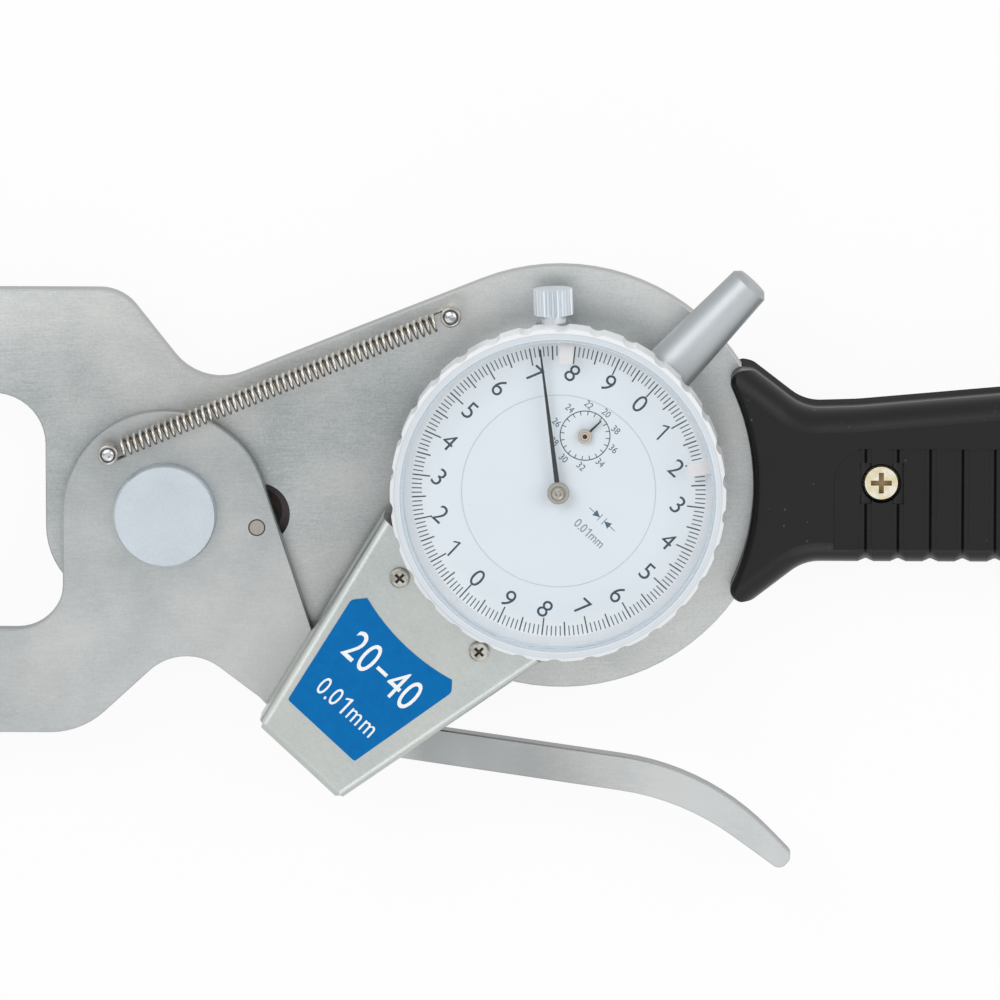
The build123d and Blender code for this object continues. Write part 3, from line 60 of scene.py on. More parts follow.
# Places that the frame gives
dialLow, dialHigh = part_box("scale_ring")
dialCentre = np.array([(dialLow.x + dialHigh.x) / 2, (dialLow.y + dialHigh.y) / 2])
dialFace = dialHigh.z
dialTurn = math.radians(46.9)  # direction of the spindle, from +X
across = np.array([math.sin(dialTurn), -math.cos(dialTurn)])
along = np.array([math.cos(dialTurn), math.sin(dialTurn)])


def nodeCentre(name):
    low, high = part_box(name)
    return np.array([(low.x + high.x) / 2, (low.y + high.y) / 2])


smallCentre = nodeCentre("rack_gear")
crystalLow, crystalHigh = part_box("crystal")
crystalRadius = (crystalHigh.x - crystalLow.x) / 2


def onDial(u, v, centre=dialCentre):
    # centre + u * across + v * along, for numbers or whole arrays
    return centre + np.multiply.outer(u, across) + np.multiply.outer(v, along)


class Signal:
    # a value in a node tree; sums on it add Math nodes
    def __init__(self, finish, socket):
        self.finish = finish
        self.socket = socket

    def math(self, operation, other, swapped=False):
        first, second = (other, self) if swapped else (self, other)
        return self.finish.node("Math", {"operation": operation}, {0: first, 1: second})

    def __add__(self, other):
        return self.math("ADD", other)

    def __radd__(self, other):
        return self.math("ADD", other, True)

    def __sub__(self, other):
        return self.math("SUBTRACT", other)

    def __rsub__(self, other):
        return self.math("SUBTRACT", other, True)

    def __mul__(self, other):
        return self.math("MULTIPLY", other)

    def __rmul__(self, other):
        return self.math("MULTIPLY", other, True)

    def limited(self):
        return self.math("MAXIMUM", 0.0).math("MINIMUM", 1.0)


class Finish:
    # a material or world and the one way to add nodes to it
    def __init__(self, tree):
        self.tree = tree
        self.tree.nodes.clear()

    def node(self, kind, settings=None, sockets=None, output=0):
        made = self.tree.nodes.new("ShaderNode" + kind)
        for name, value in (settings or {}).items():
            setattr(made, name, value)
        for name, value in (sockets or {}).items():
            if isinstance(value, Signal):
                self.tree.links.new(value.socket, made.inputs[name])
            else:
                made.inputs[name].default_value = value
        return Signal(self, made.outputs[output]) if made.outputs else None

    def place(self):
        return self.node("TexCoord", output="Object")

    def noise(self, cells, detail=2.0, turn=0.0, rough=0.55):
        # this many cells to a metre, the same in each direction or one number for each
        counts = cells if isinstance(cells, tuple) else (cells,) * 3
        turned = self.node("Mapping", {"vector_type": "TEXTURE"},
                           {"Vector": self.place(), "Rotation": (0.0, 0.0, turn)})
        scaled = self.node("VectorMath", {"operation": "MULTIPLY"}, {0: turned, 1: counts})
        return self.node("TexNoise", {}, {"Vector": scaled, "Scale": 1.0, "Detail": detail,
                                          "Roughness": rough})

    def fromAxis(self, centre):
        # distance from a vertical line, in metres
        shifted = self.node("VectorMath", {"operation": "SUBTRACT"},
                            {0: self.place(), 1: (centre[0], centre[1], 0.0)})
        flat = self.node("VectorMath", {"operation": "MULTIPLY"}, {0: shifted, 1: (1.0, 1.0, 0.0)})
        return self.node("VectorMath", {"operation": "LENGTH"}, {0: flat}, "Value")

    def coordinate(self, axis):
        # X, Y or Z of the point, in metres
        return self.node("SeparateXYZ", {}, {0: self.place()}, axis)

    def level(self):
        return self.coordinate("Z")

    def step(self, value, start, end):
        # 0 before start and 1 after end, smooth between
        return self.node("MapRange", {"interpolation_type": "SMOOTHSTEP"},
                         {"Value": value, "From Min": start, "From Max": end})

    def ring(self, distance, radius, half, soft):
        # 1 on a circle of this radius, 0 away from it
        return self.step(distance, radius - half - soft, radius - half) * (
            1.0 - self.step(distance, radius + half, radius + half + soft))

    def mix(self, mask, low, high):
        def colour(value):
            return value if isinstance(value, Signal) else (*value, 1.0)
        return self.node("Mix", {"data_type": "RGBA"}, {0: mask, 6: colour(low), 7: colour(high)}, 2)

    def bump(self, height, strength, distance):
        return self.node("Bump", {}, {"Strength": strength, "Distance": distance, "Height": height},
                         "Normal")

    def surface(self, **sockets):
        names = {name.replace("_", " "): value for name, value in sockets.items()}
        shader = self.node("BsdfPrincipled", {}, names)
        self.node("OutputMaterial", {}, {"Surface": shader})


finishes = {}


def newFinish(slot):
    material = bpy.data.materials.new(slot)
    material.use_nodes = True
    finishes[slot] = material
    return Finish(material.node_tree)


# Rolled steel: fine straight grain and speckle, soft patches warm and cool, a few thin scratches
sheetLooks = {
    "plate_steel": dict(node="main_plate", dark=(0.31, 0.335, 0.34), light=(0.58, 0.60, 0.595), rough=0.36,
                        turn=0.02, fine=1.05, lift=-0.10, upperPaintedLight=0.42, lever=0.0, wallShade=0.45),
    "arm_steel": dict(node="moving_arm", dark=(0.31, 0.33, 0.335), light=(0.53, 0.55, 0.55), rough=0.38,
                      turn=-0.02, fine=0.75, lift=0.0, upperPaintedLight=0.22, lever=0.95, wallShade=0.60),
    "cover_steel": dict(node="cover", dark=(0.37, 0.405, 0.395), light=(0.55, 0.585, 0.57), rough=0.33,
                        turn=-0.75, fine=1.0, lift=0.0, upperPaintedLight=0.0, lever=0.0, wallShade=0.0),
}
sheetShares = dict(grain=0.75, speck=0.95, mottle=0.8, slow=1.1, scratch=0.2, warm=0.22,
                   fineMean=0.85, slowMean=0.47)
sheetTones = dict(warm=(0.50, 0.47, 0.44), wallShadeTone=(0.10, 0.105, 0.105))
leverTone = dict(start=60.0 * mm, end=90.0 * mm, gain=1.1, drop=0.7, coverEdge=(40.0 * mm, 46.0 * mm))


def rolledSteel(slot, node, dark, light, rough, turn, fine, lift, upperPaintedLight, lever, wallShade):
    # tone = a weighted sum of noises about its mean, raised by lift, then dark to light
    finish = newFinish(slot)
    foot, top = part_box(node)
    share = sheetShares
    grain = finish.noise((350.0, 7000.0, 7000.0), 3.0, turn, 0.7)
    speck = finish.noise(2600.0, 3.0, rough=0.75)
    mottle = finish.noise(75.0, 4.0)
    slow = finish.noise(15.0, 0.0)
    warmth = finish.step(finish.noise(38.0, 2.0), 0.42, 0.66)
    scratch = finish.step(finish.noise((30.0, 3600.0, 3600.0), 1.0, turn + 0.4), 0.74, 0.78)
    tone = grain * (share["grain"] * fine) + speck * (share["speck"] * fine)
    tone = tone + mottle * share["mottle"] + slow * share["slow"] + scratch * share["scratch"]
    tone = tone - (share["fineMean"] * fine + share["slowMean"] - lift)
    if upperPaintedLight:
        # painted light: paler towards the top edge, where the light falls
        tone = tone + finish.step(finish.coordinate("Y"), 12.0 * mm, 42.0 * mm) * upperPaintedLight
    if lever:
        # painted shade on the finger lever where it leaves the cover, and painted light making it paler
        # towards its end
        far = finish.coordinate("X")
        paler = finish.step(far, leverTone["start"], leverTone["end"]) * lever * leverTone["gain"]
        tone = tone + (paler - lever * leverTone["drop"]) * finish.step(far, *leverTone["coverEdge"])
    body = finish.mix(tone.limited(), dark, light)
    if wallShade:
        # painted shade: the side walls of the sheet are darker than its two faces
        edge = finish.step(finish.level(), foot.z + 0.05 * mm, foot.z + 0.3 * mm) * (
            1.0 - finish.step(finish.level(), top.z - 0.5 * mm, top.z - 0.2 * mm))
        body = finish.mix(edge * wallShade, body, sheetTones["wallShadeTone"])
    finish.surface(
        Base_Color=finish.mix(warmth * share["warm"], body, sheetTones["warm"]), Metallic=1.0,
        Roughness=(rough + (grain - 0.5) * 0.16 + (mottle - 0.5) * 0.12),
        Normal=finish.bump(grain, 0.22, 0.00002))


for slot, look in sheetLooks.items():
    rolledSteel(slot, **look)

# Turned and cast metals: faint rings or cloud, each with its own tone
metalLooks = {
    "pivot_steel": dict(tone=(0.49, 0.54, 0.58), rough=0.44, cell=1800.0, spread=0.17),
    "bright_steel": dict(tone=(0.66, 0.66, 0.64), rough=0.22, cell=900.0, spread=0.08),
    "satin_aluminium": dict(tone=(0.41, 0.435, 0.45), rough=0.50, cell=1300.0, spread=0.07),
    "case_aluminium": dict(tone=(0.60, 0.61, 0.61), rough=0.35, cell=1300.0, spread=0.08),
    "brass": dict(tone=(0.62, 0.47, 0.23), rough=0.30, cell=900.0, spread=0.12),
}


def plainMetal(slot, tone, rough, cell, spread):
    finish = newFinish(slot)
    cloud = finish.noise((cell, cell, cell * 3.0), 3.0)
    stain = finish.noise(110.0, 2.0)
    dark = tuple(value * (1.0 - spread) for value in tone)
    light = tuple(min(1.0, value * (1.0 + spread)) for value in tone)
    finish.surface(
        Base_Color=finish.mix((cloud * 0.5 + stain * 0.5), dark, light), Metallic=1.0,
        Roughness=(rough + (cloud - 0.5) * 0.10 + (stain - 0.5) * 0.10),
        Normal=finish.bump(cloud, 0.10, 0.00002))


for slot, look in metalLooks.items():
    plainMetal(slot, **look)

# Plated screws: patches of two tones, with painted shade and dirt below the top of the head and in the
# cross-shaped hollow
screwLooks = {
    "zinc_screw": dict(node="handle_screws", pale=(0.80, 0.78, 0.68), tint=(0.72, 0.63, 0.40),
                       recessShadeAndDirt=(0.34, 0.24, 0.12)),
    "nickel_screw": dict(node="cover_screws", pale=(0.56, 0.56, 0.52), tint=(0.34, 0.32, 0.27),
                         recessShadeAndDirt=(0.05, 0.045, 0.035)),
}


def screwFinish(slot, node, pale, tint, recessShadeAndDirt):
    finish = newFinish(slot)
    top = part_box(node)[1].z
    # painted shade and dirt: darker below the top of the head, in the cross and down its side
    sunk = 1.0 - finish.step(finish.level(), top - 0.42 * mm, top - 0.26 * mm)
    patches = finish.noise(520.0, 3.0)
    fine = finish.noise(4200.0, 2.0)
    plated = finish.mix(finish.step(patches, 0.4, 0.65), pale, tint)
    finish.surface(
        Base_Color=finish.mix(sunk, plated, recessShadeAndDirt), Metallic=(1.0 - sunk * 0.6),
        Roughness=(0.24 + sunk * 0.3 + (fine - 0.5) * 0.16), Normal=finish.bump(fine, 0.15, 0.00002))


for slot, look in screwLooks.items():
    screwFinish(slot, **look)

# Stop: bare end of the pin in the arm, a dark line round it, and painted shade on the steel seen below it in
# the hole
stopLook = dict(end=(0.25, 0.23, 0.21), endHigh=(0.43, 0.40, 0.37), endRadius=1.28 * mm,
                dark=(0.022, 0.016, 0.014), holeShadePale=(0.055, 0.038, 0.030), holeEdgeLight=(0.15, 0.125, 0.13),
                holeEdgeLightWidth=1.5 * mm, holeCentre=(16.03 * mm, -0.59 * mm), holeRadius=5.45 * mm)


def stopFinish(end, endHigh, endRadius, dark, holeShadePale, holeEdgeLight, holeEdgeLightWidth, holeCentre, holeRadius):
    finish = newFinish("dark_steel")
    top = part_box("stop_pin")[1].z
    distance = finish.fromAxis(nodeCentre("stop_pin"))
    bare = (1.0 - finish.step(distance, endRadius - 0.05 * mm, endRadius + 0.02 * mm)) * finish.step(
        finish.level(), top - 1.0 * mm, top - 0.9 * mm)
    grit = finish.noise(5200.0, 3.0)
    holeShadeMottle = finish.noise(600.0, 2.0)
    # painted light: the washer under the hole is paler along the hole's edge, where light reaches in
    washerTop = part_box("pivot_back_washer")[1].z
    holeEdgeLightFrom = holeRadius - holeEdgeLightWidth
    holeEdgeLit = finish.step(finish.fromAxis(holeCentre), holeEdgeLightFrom - 0.15 * mm, holeEdgeLightFrom + 0.15 * mm) * (
        1.0 - finish.step(finish.level(), washerTop + 0.05 * mm, washerTop + 0.15 * mm))
    # painted shade in the hole, mottled between two dark tones, with painted light along its edge
    below = finish.mix(holeEdgeLit, finish.mix(holeShadeMottle, dark, holeShadePale), holeEdgeLight)
    finish.surface(
        Base_Color=finish.mix(bare, below, finish.mix(grit, end, endHigh)), Metallic=(bare * 0.6 + 0.3),
        Roughness=(0.5 - bare * 0.1 + (grit - 0.5) * 0.2), Normal=finish.bump(grit, 0.2, 0.00002))


stopFinish(**stopLook)

# Bezel: satin white anodised rim and a lacquered cone inside, with painted light making the cone paler towards
# the dial
bezelLook = dict(rim=(0.635, 0.69, 0.73), low=(0.93, 0.96, 0.985), high=(0.79, 0.85, 0.90),
                 grip=(0.93, 0.95, 0.97), stain=(0.55, 0.58, 0.61), rough=0.34)


def bezelFinish(rim, low, high, grip, stain, rough):
    finish = newFinish("bezel_aluminium")
    distance = finish.fromAxis(dialCentre)
    foot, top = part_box("bezel")
    outer = (top.x - foot.x) / 2
    inside = 1.0 - finish.step(distance, outer - 1.58 * mm, outer - 1.48 * mm)
    side = finish.ring(distance, outer - 0.1 * mm, 0.45 * mm, 0.2 * mm)
    turning = finish.noise((400.0, 400.0, 9000.0), 2.0)
    cloud = finish.noise(700.0, 3.0)
    # painted light: the cone is paler low down by the dial, where it lies in shade
    cone = finish.mix(finish.step(distance, outer - 3.3 * mm, outer - 2.0 * mm), low, high)
    body = finish.mix(side, finish.mix(inside, rim, cone), grip)
    finish.surface(
        Base_Color=finish.mix(cloud * 0.16, body, stain),
        Metallic=(0.85 - inside * 0.75 - side * 0.60),
        Roughness=(rough + (turning - 0.5) * 0.12 + (cloud - 0.5) * 0.10),
        Normal=finish.bump(turning * 0.5 + cloud * 0.5, 0.12, 0.00002))


bezelFinish(**bezelLook)

# Dial lacquer: pale cool white, faint unevenness, and painted light a little paler towards the scale, where
# the bezel shades it
dialLook = dict(low=(0.80, 0.87, 0.93), high=(0.84, 0.91, 0.97), rim=(0.93, 0.965, 0.985))


def dialFinish(low, high, rim):
    finish = newFinish("dial_white")
    # painted light: paler towards the scale
    outer = finish.step(finish.fromAxis(dialCentre), 20.5 * mm, 25.5 * mm)
    cloud = finish.noise(70.0, 3.0)
    tooth = finish.noise(5200.0, 2.0)
    finish.surface(
        Base_Color=finish.mix(outer, finish.mix(cloud, low, high), rim),
        Roughness=(0.46 + (tooth - 0.5) * 0.14), Normal=finish.bump(tooth, 0.08, 0.00001))


dialFinish(**dialLook)

# Hands: black lacquer with a bare turned hub round each arbor
handLooks = {
    "hand_black": dict(hubRadius=1.92 * mm, dot=0.0, hub=(0.32, 0.305, 0.275), glint=(0.42, 0.40, 0.36)),
    "hand_brass": dict(hubRadius=1.22 * mm, dot=0.42 * mm, hub=(0.50, 0.43, 0.35), glint=(0.62, 0.55, 0.46)),
}
handTones = dict(black=(0.008, 0.011, 0.014), groove=(0.16, 0.145, 0.12), hole=(0.03, 0.026, 0.02))


def handFinish(slot, centre, hubRadius, dot, hub, glint, black, groove, hole):
    finish = newFinish(slot)
    distance = finish.fromAxis(centre)
    onHub = 1.0 - finish.step(distance, hubRadius - 0.02 * mm, hubRadius + 0.03 * mm)
    turned = finish.noise((2600.0, 2600.0, 400.0), 2.0)
    ring = finish.ring(distance, hubRadius * 0.62, hubRadius * 0.05, hubRadius * 0.05)
    brass = finish.mix(ring * 0.6, finish.mix(turned, hub, glint), groove)
    if dot > 0.0:
        brass = finish.mix(1.0 - finish.step(distance, dot - 0.06 * mm, dot + 0.06 * mm), brass, hole)
    finish.surface(
        Base_Color=finish.mix(onHub, black, brass), Metallic=(onHub * 0.9),
        Roughness=(0.42 - onHub * 0.03 + (turned - 0.5) * 0.10), Normal=finish.bump(turned, 0.1, 0.00001))


handFinish("hand_black", dialCentre, **handLooks["hand_black"], **handTones)
handFinish("hand_brass", smallCentre, **handLooks["hand_brass"], **handTones)

# Crystal: clear acrylic, nearly all let through
crystalLook = dict(low=(0.30, 0.34, 0.36), high=(0.40, 0.44, 0.46), alpha=0.02)


def crystalFinish(low, high, alpha):
    finish = newFinish("crystal_clear")
    haze = finish.noise(60.0, 2.0)
    edge = finish.step(finish.fromAxis(dialCentre), crystalRadius - 0.35 * mm, crystalRadius)
    finish.surface(Base_Color=finish.mix(haze, low, high), Roughness=(0.04 + haze * 0.04),
                   Alpha=(alpha + haze * 0.015 + edge * 0.12))
    finishes["crystal_clear"].surface_render_method = "BLENDED"


crystalFinish(**crystalLook)

# Tolerance tabs, range plate and moulded handle
tabLook = dict(low=(0.80, 0.79, 0.80), high=(0.86, 0.84, 0.85))
plateLook = dict(low=(0.0012, 0.125, 0.40), high=(0.004, 0.19, 0.50))
handleLook = dict(low=(0.0035, 0.0035, 0.0042), high=(0.008, 0.008, 0.0095), speck=(0.16, 0.16, 0.16),
                  rough=0.31, shine=0.28, mattRough=0.9, wallFoot=9.5 * mm, wallTop=14.5 * mm, wallShare=0.85)


def tabFinish(low, high):
    finish = newFinish("marker_white")
    cloud = finish.noise(900.0, 2.0)
    finish.surface(Base_Color=finish.mix(cloud, low, high), Roughness=(0.40 + cloud * 0.1),
                   Normal=finish.bump(cloud, 0.1, 0.00001))


def rangePlateFinish(low, high):
    finish = newFinish("label_blue")
    ink = finish.noise(420.0, 4.0, rough=0.7)
    peel = finish.noise(1500.0, 2.0)
    finish.surface(
        Base_Color=finish.mix(ink, low, high), Roughness=(0.42 + (peel - 0.5) * 0.12),
        Specular_IOR_Level=0.08, Normal=finish.bump(peel, 0.12, 0.00002))


def handleFinish(low, high, speck, rough, shine, mattRough, wallFoot, wallTop, wallShare):
    # satin moulded skin, and a matt one that takes over down the side walls
    finish = newFinish("handle_black")
    grain = finish.noise(3300.0, 3.0, rough=0.6)
    rubs = finish.noise((45.0, 160.0, 90.0), 3.0)
    specks = finish.step(finish.noise(900.0, 1.0), 0.76, 0.80)
    body = finish.mix((grain * 0.4 + rubs * 0.6), low, high)
    colour = finish.mix(specks * 0.35, body, speck)
    skin = finish.bump(grain, 0.32, 0.00006)
    satin = finish.node("BsdfPrincipled", {}, {
        "Base Color": colour, "Roughness": (rough + (grain - 0.5) * 0.14 + (rubs - 0.5) * 0.16),
        "Specular IOR Level": shine, "Normal": skin})
    matt = finish.node("BsdfPrincipled", {}, {
        "Base Color": colour, "Roughness": mattRough, "Specular IOR Level": 0.0, "Normal": skin})
    wall = 1.0 - finish.step(finish.level(), wallFoot, wallTop)
    mixed = finish.node("MixShader", {}, {0: wall * wallShare, 1: satin, 2: matt})
    finish.node("OutputMaterial", {}, {"Surface": mixed})


tabFinish(**tabLook)
rangePlateFinish(**plateLook)
handleFinish(**handleLook)


# Printed inks
def ink(name, colour, rough):
    finish = newFinish(name)
    film = finish.noise(2400.0, 2.0)
    paler = tuple(value * 1.35 + 0.01 for value in colour)
    finish.surface(Base_Color=finish.mix(film, colour, paler), Roughness=(rough + film * 0.1),
                   Normal=finish.bump(film, 0.05, 0.00001))
    return finishes[name]


darkInk = ink("ink_slate", (0.020, 0.042, 0.062), 0.5)
fineInk = ink("ink_fine", (0.040, 0.095, 0.150), 0.5)
greyInk = ink("ink_grey", (0.16, 0.22, 0.26), 0.5)
faintInk = ink("ink_faint", (0.50, 0.56, 0.61), 0.5)
whiteInk = ink("ink_white", (0.80, 0.81, 0.82), 0.45)
print("finishes made:", len(finishes))


# Mesh helpers
def newPiece(name, points, faces, material, smooth=False):
    mesh = bpy.data.meshes.new(name)
    mesh.from_pydata(np.asarray(points).tolist(), [], [list(face) for face in faces])
    mesh.materials.append(material)
    mesh.polygons.foreach_set("use_smooth", np.full(len(mesh.polygons), smooth))
    mesh.update()
    piece = bpy.data.objects.new(name, mesh)
    bpy.context.scene.collection.objects.link(piece)
    return piece


def gridFaces(rows, columns, closeRows=False):
    # quads over a grid whose columns are joined end to end, and its rows where asked
    i = np.arange(rows if closeRows else rows - 1)[:, None]
    j = np.arange(columns)[None, :]
    after, beside = (i + 1) % rows, (j + 1) % columns
    corners = [i * columns + j, after * columns + j, after * columns + beside, i * columns + beside]
    return np.stack([np.broadcast_to(c, (len(i), j.shape[1])) for c in corners], axis=-1).reshape(-1, 4)


def closedFaces(rows, columns):
    # the same quads, with a face over the first and the last row
    faces = [list(face) for face in gridFaces(rows, columns)]
    return faces + [list(range(columns))[::-1], list(range((rows - 1) * columns, rows * columns))]


def blocks(lows, highs):
    # closed bars: lows and highs hold the four corners of each bar's foot and top, (count, 4, 3)
    points = np.concatenate([lows, highs], axis=1).reshape(-1, 3)
    sides = np.array([[3, 2, 1, 0], [4, 5, 6, 7], [0, 1, 5, 4], [1, 2, 6, 5], [2, 3, 7, 6], [3, 0, 4, 7]])
    faces = (np.arange(len(lows))[:, None, None] * 8 + sides[None]).reshape(-1, 4)
    return points, faces


def barsFrom(starts, ends, halfWidths, level, thickness):
    # flat bars from start to end in the plane, each as wide as twice its half width
    way = ends - starts
    way = way / np.linalg.norm(way, axis=1, keepdims=True)
    side = np.stack([-way[:, 1], way[:, 0]], axis=1) * np.asarray(halfWidths).reshape(-1, 1)
    flat = np.stack([starts - side, ends - side, ends + side, starts + side], axis=1)
    foot = np.concatenate([flat, np.full((*flat.shape[:2], 1), level)], axis=2)
    top = np.concatenate([flat, np.full((*flat.shape[:2], 1), level + thickness)], axis=2)
    return blocks(foot, top)


def revolved(profile, centre, segments=96, closed=True):
    # a profile of (radius, height) carried round a vertical line; the first point meets the last
    profile = np.asarray(profile)
    angle = np.linspace(0.0, 2 * np.pi, segments, endpoint=False)
    radius, height = profile[:, 0][:, None], profile[:, 1][:, None]
    points = np.stack([centre[0] + radius * np.cos(angle), centre[1] + radius * np.sin(angle),
                       height + 0 * angle], axis=-1).reshape(-1, 3)
    return points, gridFaces(len(profile), segments, closeRows=closed)


def flatRing(centre, inner, outer, level, thickness, segments=96):
    # a flat washer from inner to outer radius, standing thickness above its level
    profile = [(inner, level), (inner, level + thickness), (outer, level + thickness), (outer, level)]
    points, faces = revolved(profile, centre, segments)
    return points, faces[:, ::-1]


def joined(parts):
    # several (points, faces) as one, with the faces renumbered
    points, faces, start = [], [], 0
    for partPoints, partFaces in parts:
        points.append(np.asarray(partPoints))
        faces += [[index + start for index in face] for face in partFaces]
        start += len(partPoints)
    return np.concatenate(points), faces


def lettering(words, size, level, thickness, weight, squeeze, spacing=1.0):
    # words is a list of (text, u, v) on the dial's plane; each is made a mesh before it is placed
    parts = []
    for text, u, v in words:
        curve = bpy.data.curves.new("word", "FONT")
        curve.body = text
        curve.size = size
        curve.align_x = "CENTER"
        curve.align_y = "CENTER"
        curve.offset = weight
        curve.space_character = spacing
        curve.extrude = thickness / 2
        curve.resolution_u = 5
        word = bpy.data.objects.new("word", curve)
        mesh = bpy.data.meshes.new_from_object(word)
        flat = np.zeros(len(mesh.vertices) * 3)
        mesh.vertices.foreach_get("co", flat)
        flat = flat.reshape(-1, 3)
        flat[:, 0] *= squeeze
        middle = (flat[:, :2].max(0) + flat[:, :2].min(0)) / 2
        place = onDial(u + flat[:, 0] - middle[0], v + flat[:, 1] - middle[1])
        points = np.column_stack([place, level + thickness / 2 + flat[:, 2]])
        parts.append((points, [list(face.vertices) for face in mesh.polygons]))
        bpy.data.objects.remove(word)
        bpy.data.meshes.remove(mesh)
        bpy.data.curves.remove(curve)
    return joined(parts)


# A figure 1: the flag's reach and drop as shares of the height, the rest as shares of half the stem
oneShape = dict(reach=0.30, drop=0.17, corner=0.3, flag=1.9, notch=2.3)


def figureOne(u, v, height, half, level, film):
    # a 1 as one outline: the stem, and a flag down to the left from its top
    top, foot, flag = v + height / 2, v - height / 2, u - oneShape["reach"] * height
    drop = top - oneShape["drop"] * height
    us = np.array([u + half, u + half, u - oneShape["corner"] * half, flag, flag, u - half, u - half])
    vs = np.array([foot, top, top, drop, drop - oneShape["flag"] * half,
                   top - oneShape["notch"] * half, foot])
    flat = onDial(us, vs)
    count = len(us)
    points = np.concatenate([np.column_stack([flat, np.full(count, level)]),
                             np.column_stack([flat, np.full(count, level + film)])])
    around = np.arange(count)
    beside = (around + 1) % count
    sides = np.stack([around, beside, beside + count, around + count], axis=1).tolist()
    return points, sides + [list(range(count))[::-1], list(range(count, 2 * count))]


def ridden(piece, body):
    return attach(piece, body)


# Main scale: 200 divisions on the ring that turns with the bezel, numbers 0 to 9 twice
scale = dict(divisions=200, edge=25.38 * mm, short=1.75 * mm, middle=2.45 * mm, long=3.05 * mm,
             fineHalf=0.094 * mm, boldHalf=0.116 * mm, film=0.02 * mm, turn=math.radians(0.6),
             numbers=20, numberRadius=20.75 * mm, numberSize=4.5 * mm, numberHeight=3.2 * mm,
             numberHalf=0.16 * mm, numberWeight=-0.015 * mm, numberSqueeze=0.98)


def scaleBars(numbers):
    # a bar for each number, at number / divisions of a turn, that ends at the scale's edge
    index = numbers.astype(float)
    angle = index * 2 * np.pi / scale["divisions"] - scale["turn"]
    way = onDial(np.sin(angle), np.cos(angle), np.zeros(2))
    length = np.where(numbers % 10 == 0, scale["long"],
                      np.where(numbers % 5 == 0, scale["middle"], scale["short"]))[:, None]
    half = np.where(numbers % 5 == 0, scale["boldHalf"], scale["fineHalf"])
    return barsFrom(dialCentre + way * (scale["edge"] - length), dialCentre + way * scale["edge"],
                    half, dialFace, scale["film"])


marks = np.arange(scale["divisions"])
ridden(newPiece("scale_long_marks", *scaleBars(marks[marks % 5 == 0]), darkInk), "bezel_body")
ridden(newPiece("scale_fine_marks", *scaleBars(marks[marks % 5 != 0]), fineInk), "bezel_body")
numberWords, numberParts = [], []
for place in range(scale["numbers"]):
    angle = place * 2 * math.pi / scale["numbers"] - scale["turn"]
    u, v = scale["numberRadius"] * math.sin(angle), scale["numberRadius"] * math.cos(angle)
    if place % 10 == 1:
        numberParts.append(figureOne(u, v, scale["numberHeight"], scale["numberHalf"],
                                     dialFace, scale["film"]))
    else:
        numberWords.append((str(place % 10), u, v))
numberParts.append(lettering(numberWords, scale["numberSize"], dialFace, scale["film"],
                             scale["numberWeight"], scale["numberSqueeze"]))
ridden(newPiece("scale_numbers", *joined(numberParts), darkInk), "bezel_body")

# Revolution dial: a ring with 20 marks and even numbers that run anticlockwise
small = dict(marks=20, radius=4.3 * mm, half=0.08 * mm, mark=0.72 * mm, markHalf=0.07 * mm, film=0.02 * mm,
             numberRadius=5.42 * mm, numberSize=1.68 * mm, numberSqueeze=0.9, first=20, step=36.0)
smallAngle = np.arange(small["marks"]) * 2 * np.pi / small["marks"]
smallWay = onDial(np.sin(smallAngle), np.cos(smallAngle), np.zeros(2))
smallMarks = barsFrom(smallCentre + smallWay * (small["radius"] - small["mark"]),
                      smallCentre + smallWay * small["radius"], np.full(small["marks"], small["markHalf"]),
                      dialFace, small["film"])
smallRing = flatRing(smallCentre, small["radius"] - small["half"], small["radius"] + small["half"],
                     dialFace, small["film"])
ridden(newPiece("revolution_scale", *joined([smallRing, smallMarks]), darkInk), "frame")
smallOffset = smallCentre - dialCentre
smallU, smallV = float(smallOffset @ across), float(smallOffset @ along)
smallWords = []
for place in range(small["marks"] // 2):
    angle = -math.radians(small["step"]) * place
    smallWords.append((str(small["first"] + 2 * place), smallU + small["numberRadius"] * math.sin(angle),
                       smallV + small["numberRadius"] * math.cos(angle)))
smallNumbers = lettering(smallWords, small["numberSize"], dialFace, small["film"], 0.0, small["numberSqueeze"])
ridden(newPiece("revolution_numbers", *smallNumbers, fineInk), "frame")

# Plain marks on the dial: two arrows that meet two bars, and the size of a division
arrows = dict(u=8.85 * mm, v=1.55 * mm, bar=0.5 * mm, barHalfLength=0.72 * mm, half=0.055 * mm,
              tail=3.0 * mm, head=1.25 * mm, headHalf=0.62 * mm, film=0.02 * mm)


def arrowParts(side):
    # a bar, a tail and a solid head whose point touches the bar
    bar = arrows["u"] + side * arrows["bar"]
    far = arrows["u"] + side * arrows["tail"]
    base = bar + side * arrows["head"]
    starts = onDial(np.array([bar, base]), np.array([arrows["v"] - arrows["barHalfLength"], arrows["v"]]))
    ends = onDial(np.array([bar, far]), np.array([arrows["v"] + arrows["barHalfLength"], arrows["v"]]))
    strokes = barsFrom(starts, ends, np.full(2, arrows["half"]), dialFace, arrows["film"])
    corners = onDial(np.array([bar, base, base]),
                     arrows["v"] + np.array([0.0, side * arrows["headHalf"], -side * arrows["headHalf"]]))
    low = np.column_stack([corners, np.full(3, dialFace)])
    high = np.column_stack([corners, np.full(3, dialFace + arrows["film"])])
    head = (np.concatenate([low, high]), [[0, 1, 2], [5, 4, 3], [1, 0, 3, 4], [2, 1, 4, 5], [0, 2, 5, 3]])
    return [strokes, head]


ridden(newPiece("dial_arrows", *joined(arrowParts(-1) + arrowParts(1)), fineInk), "frame")


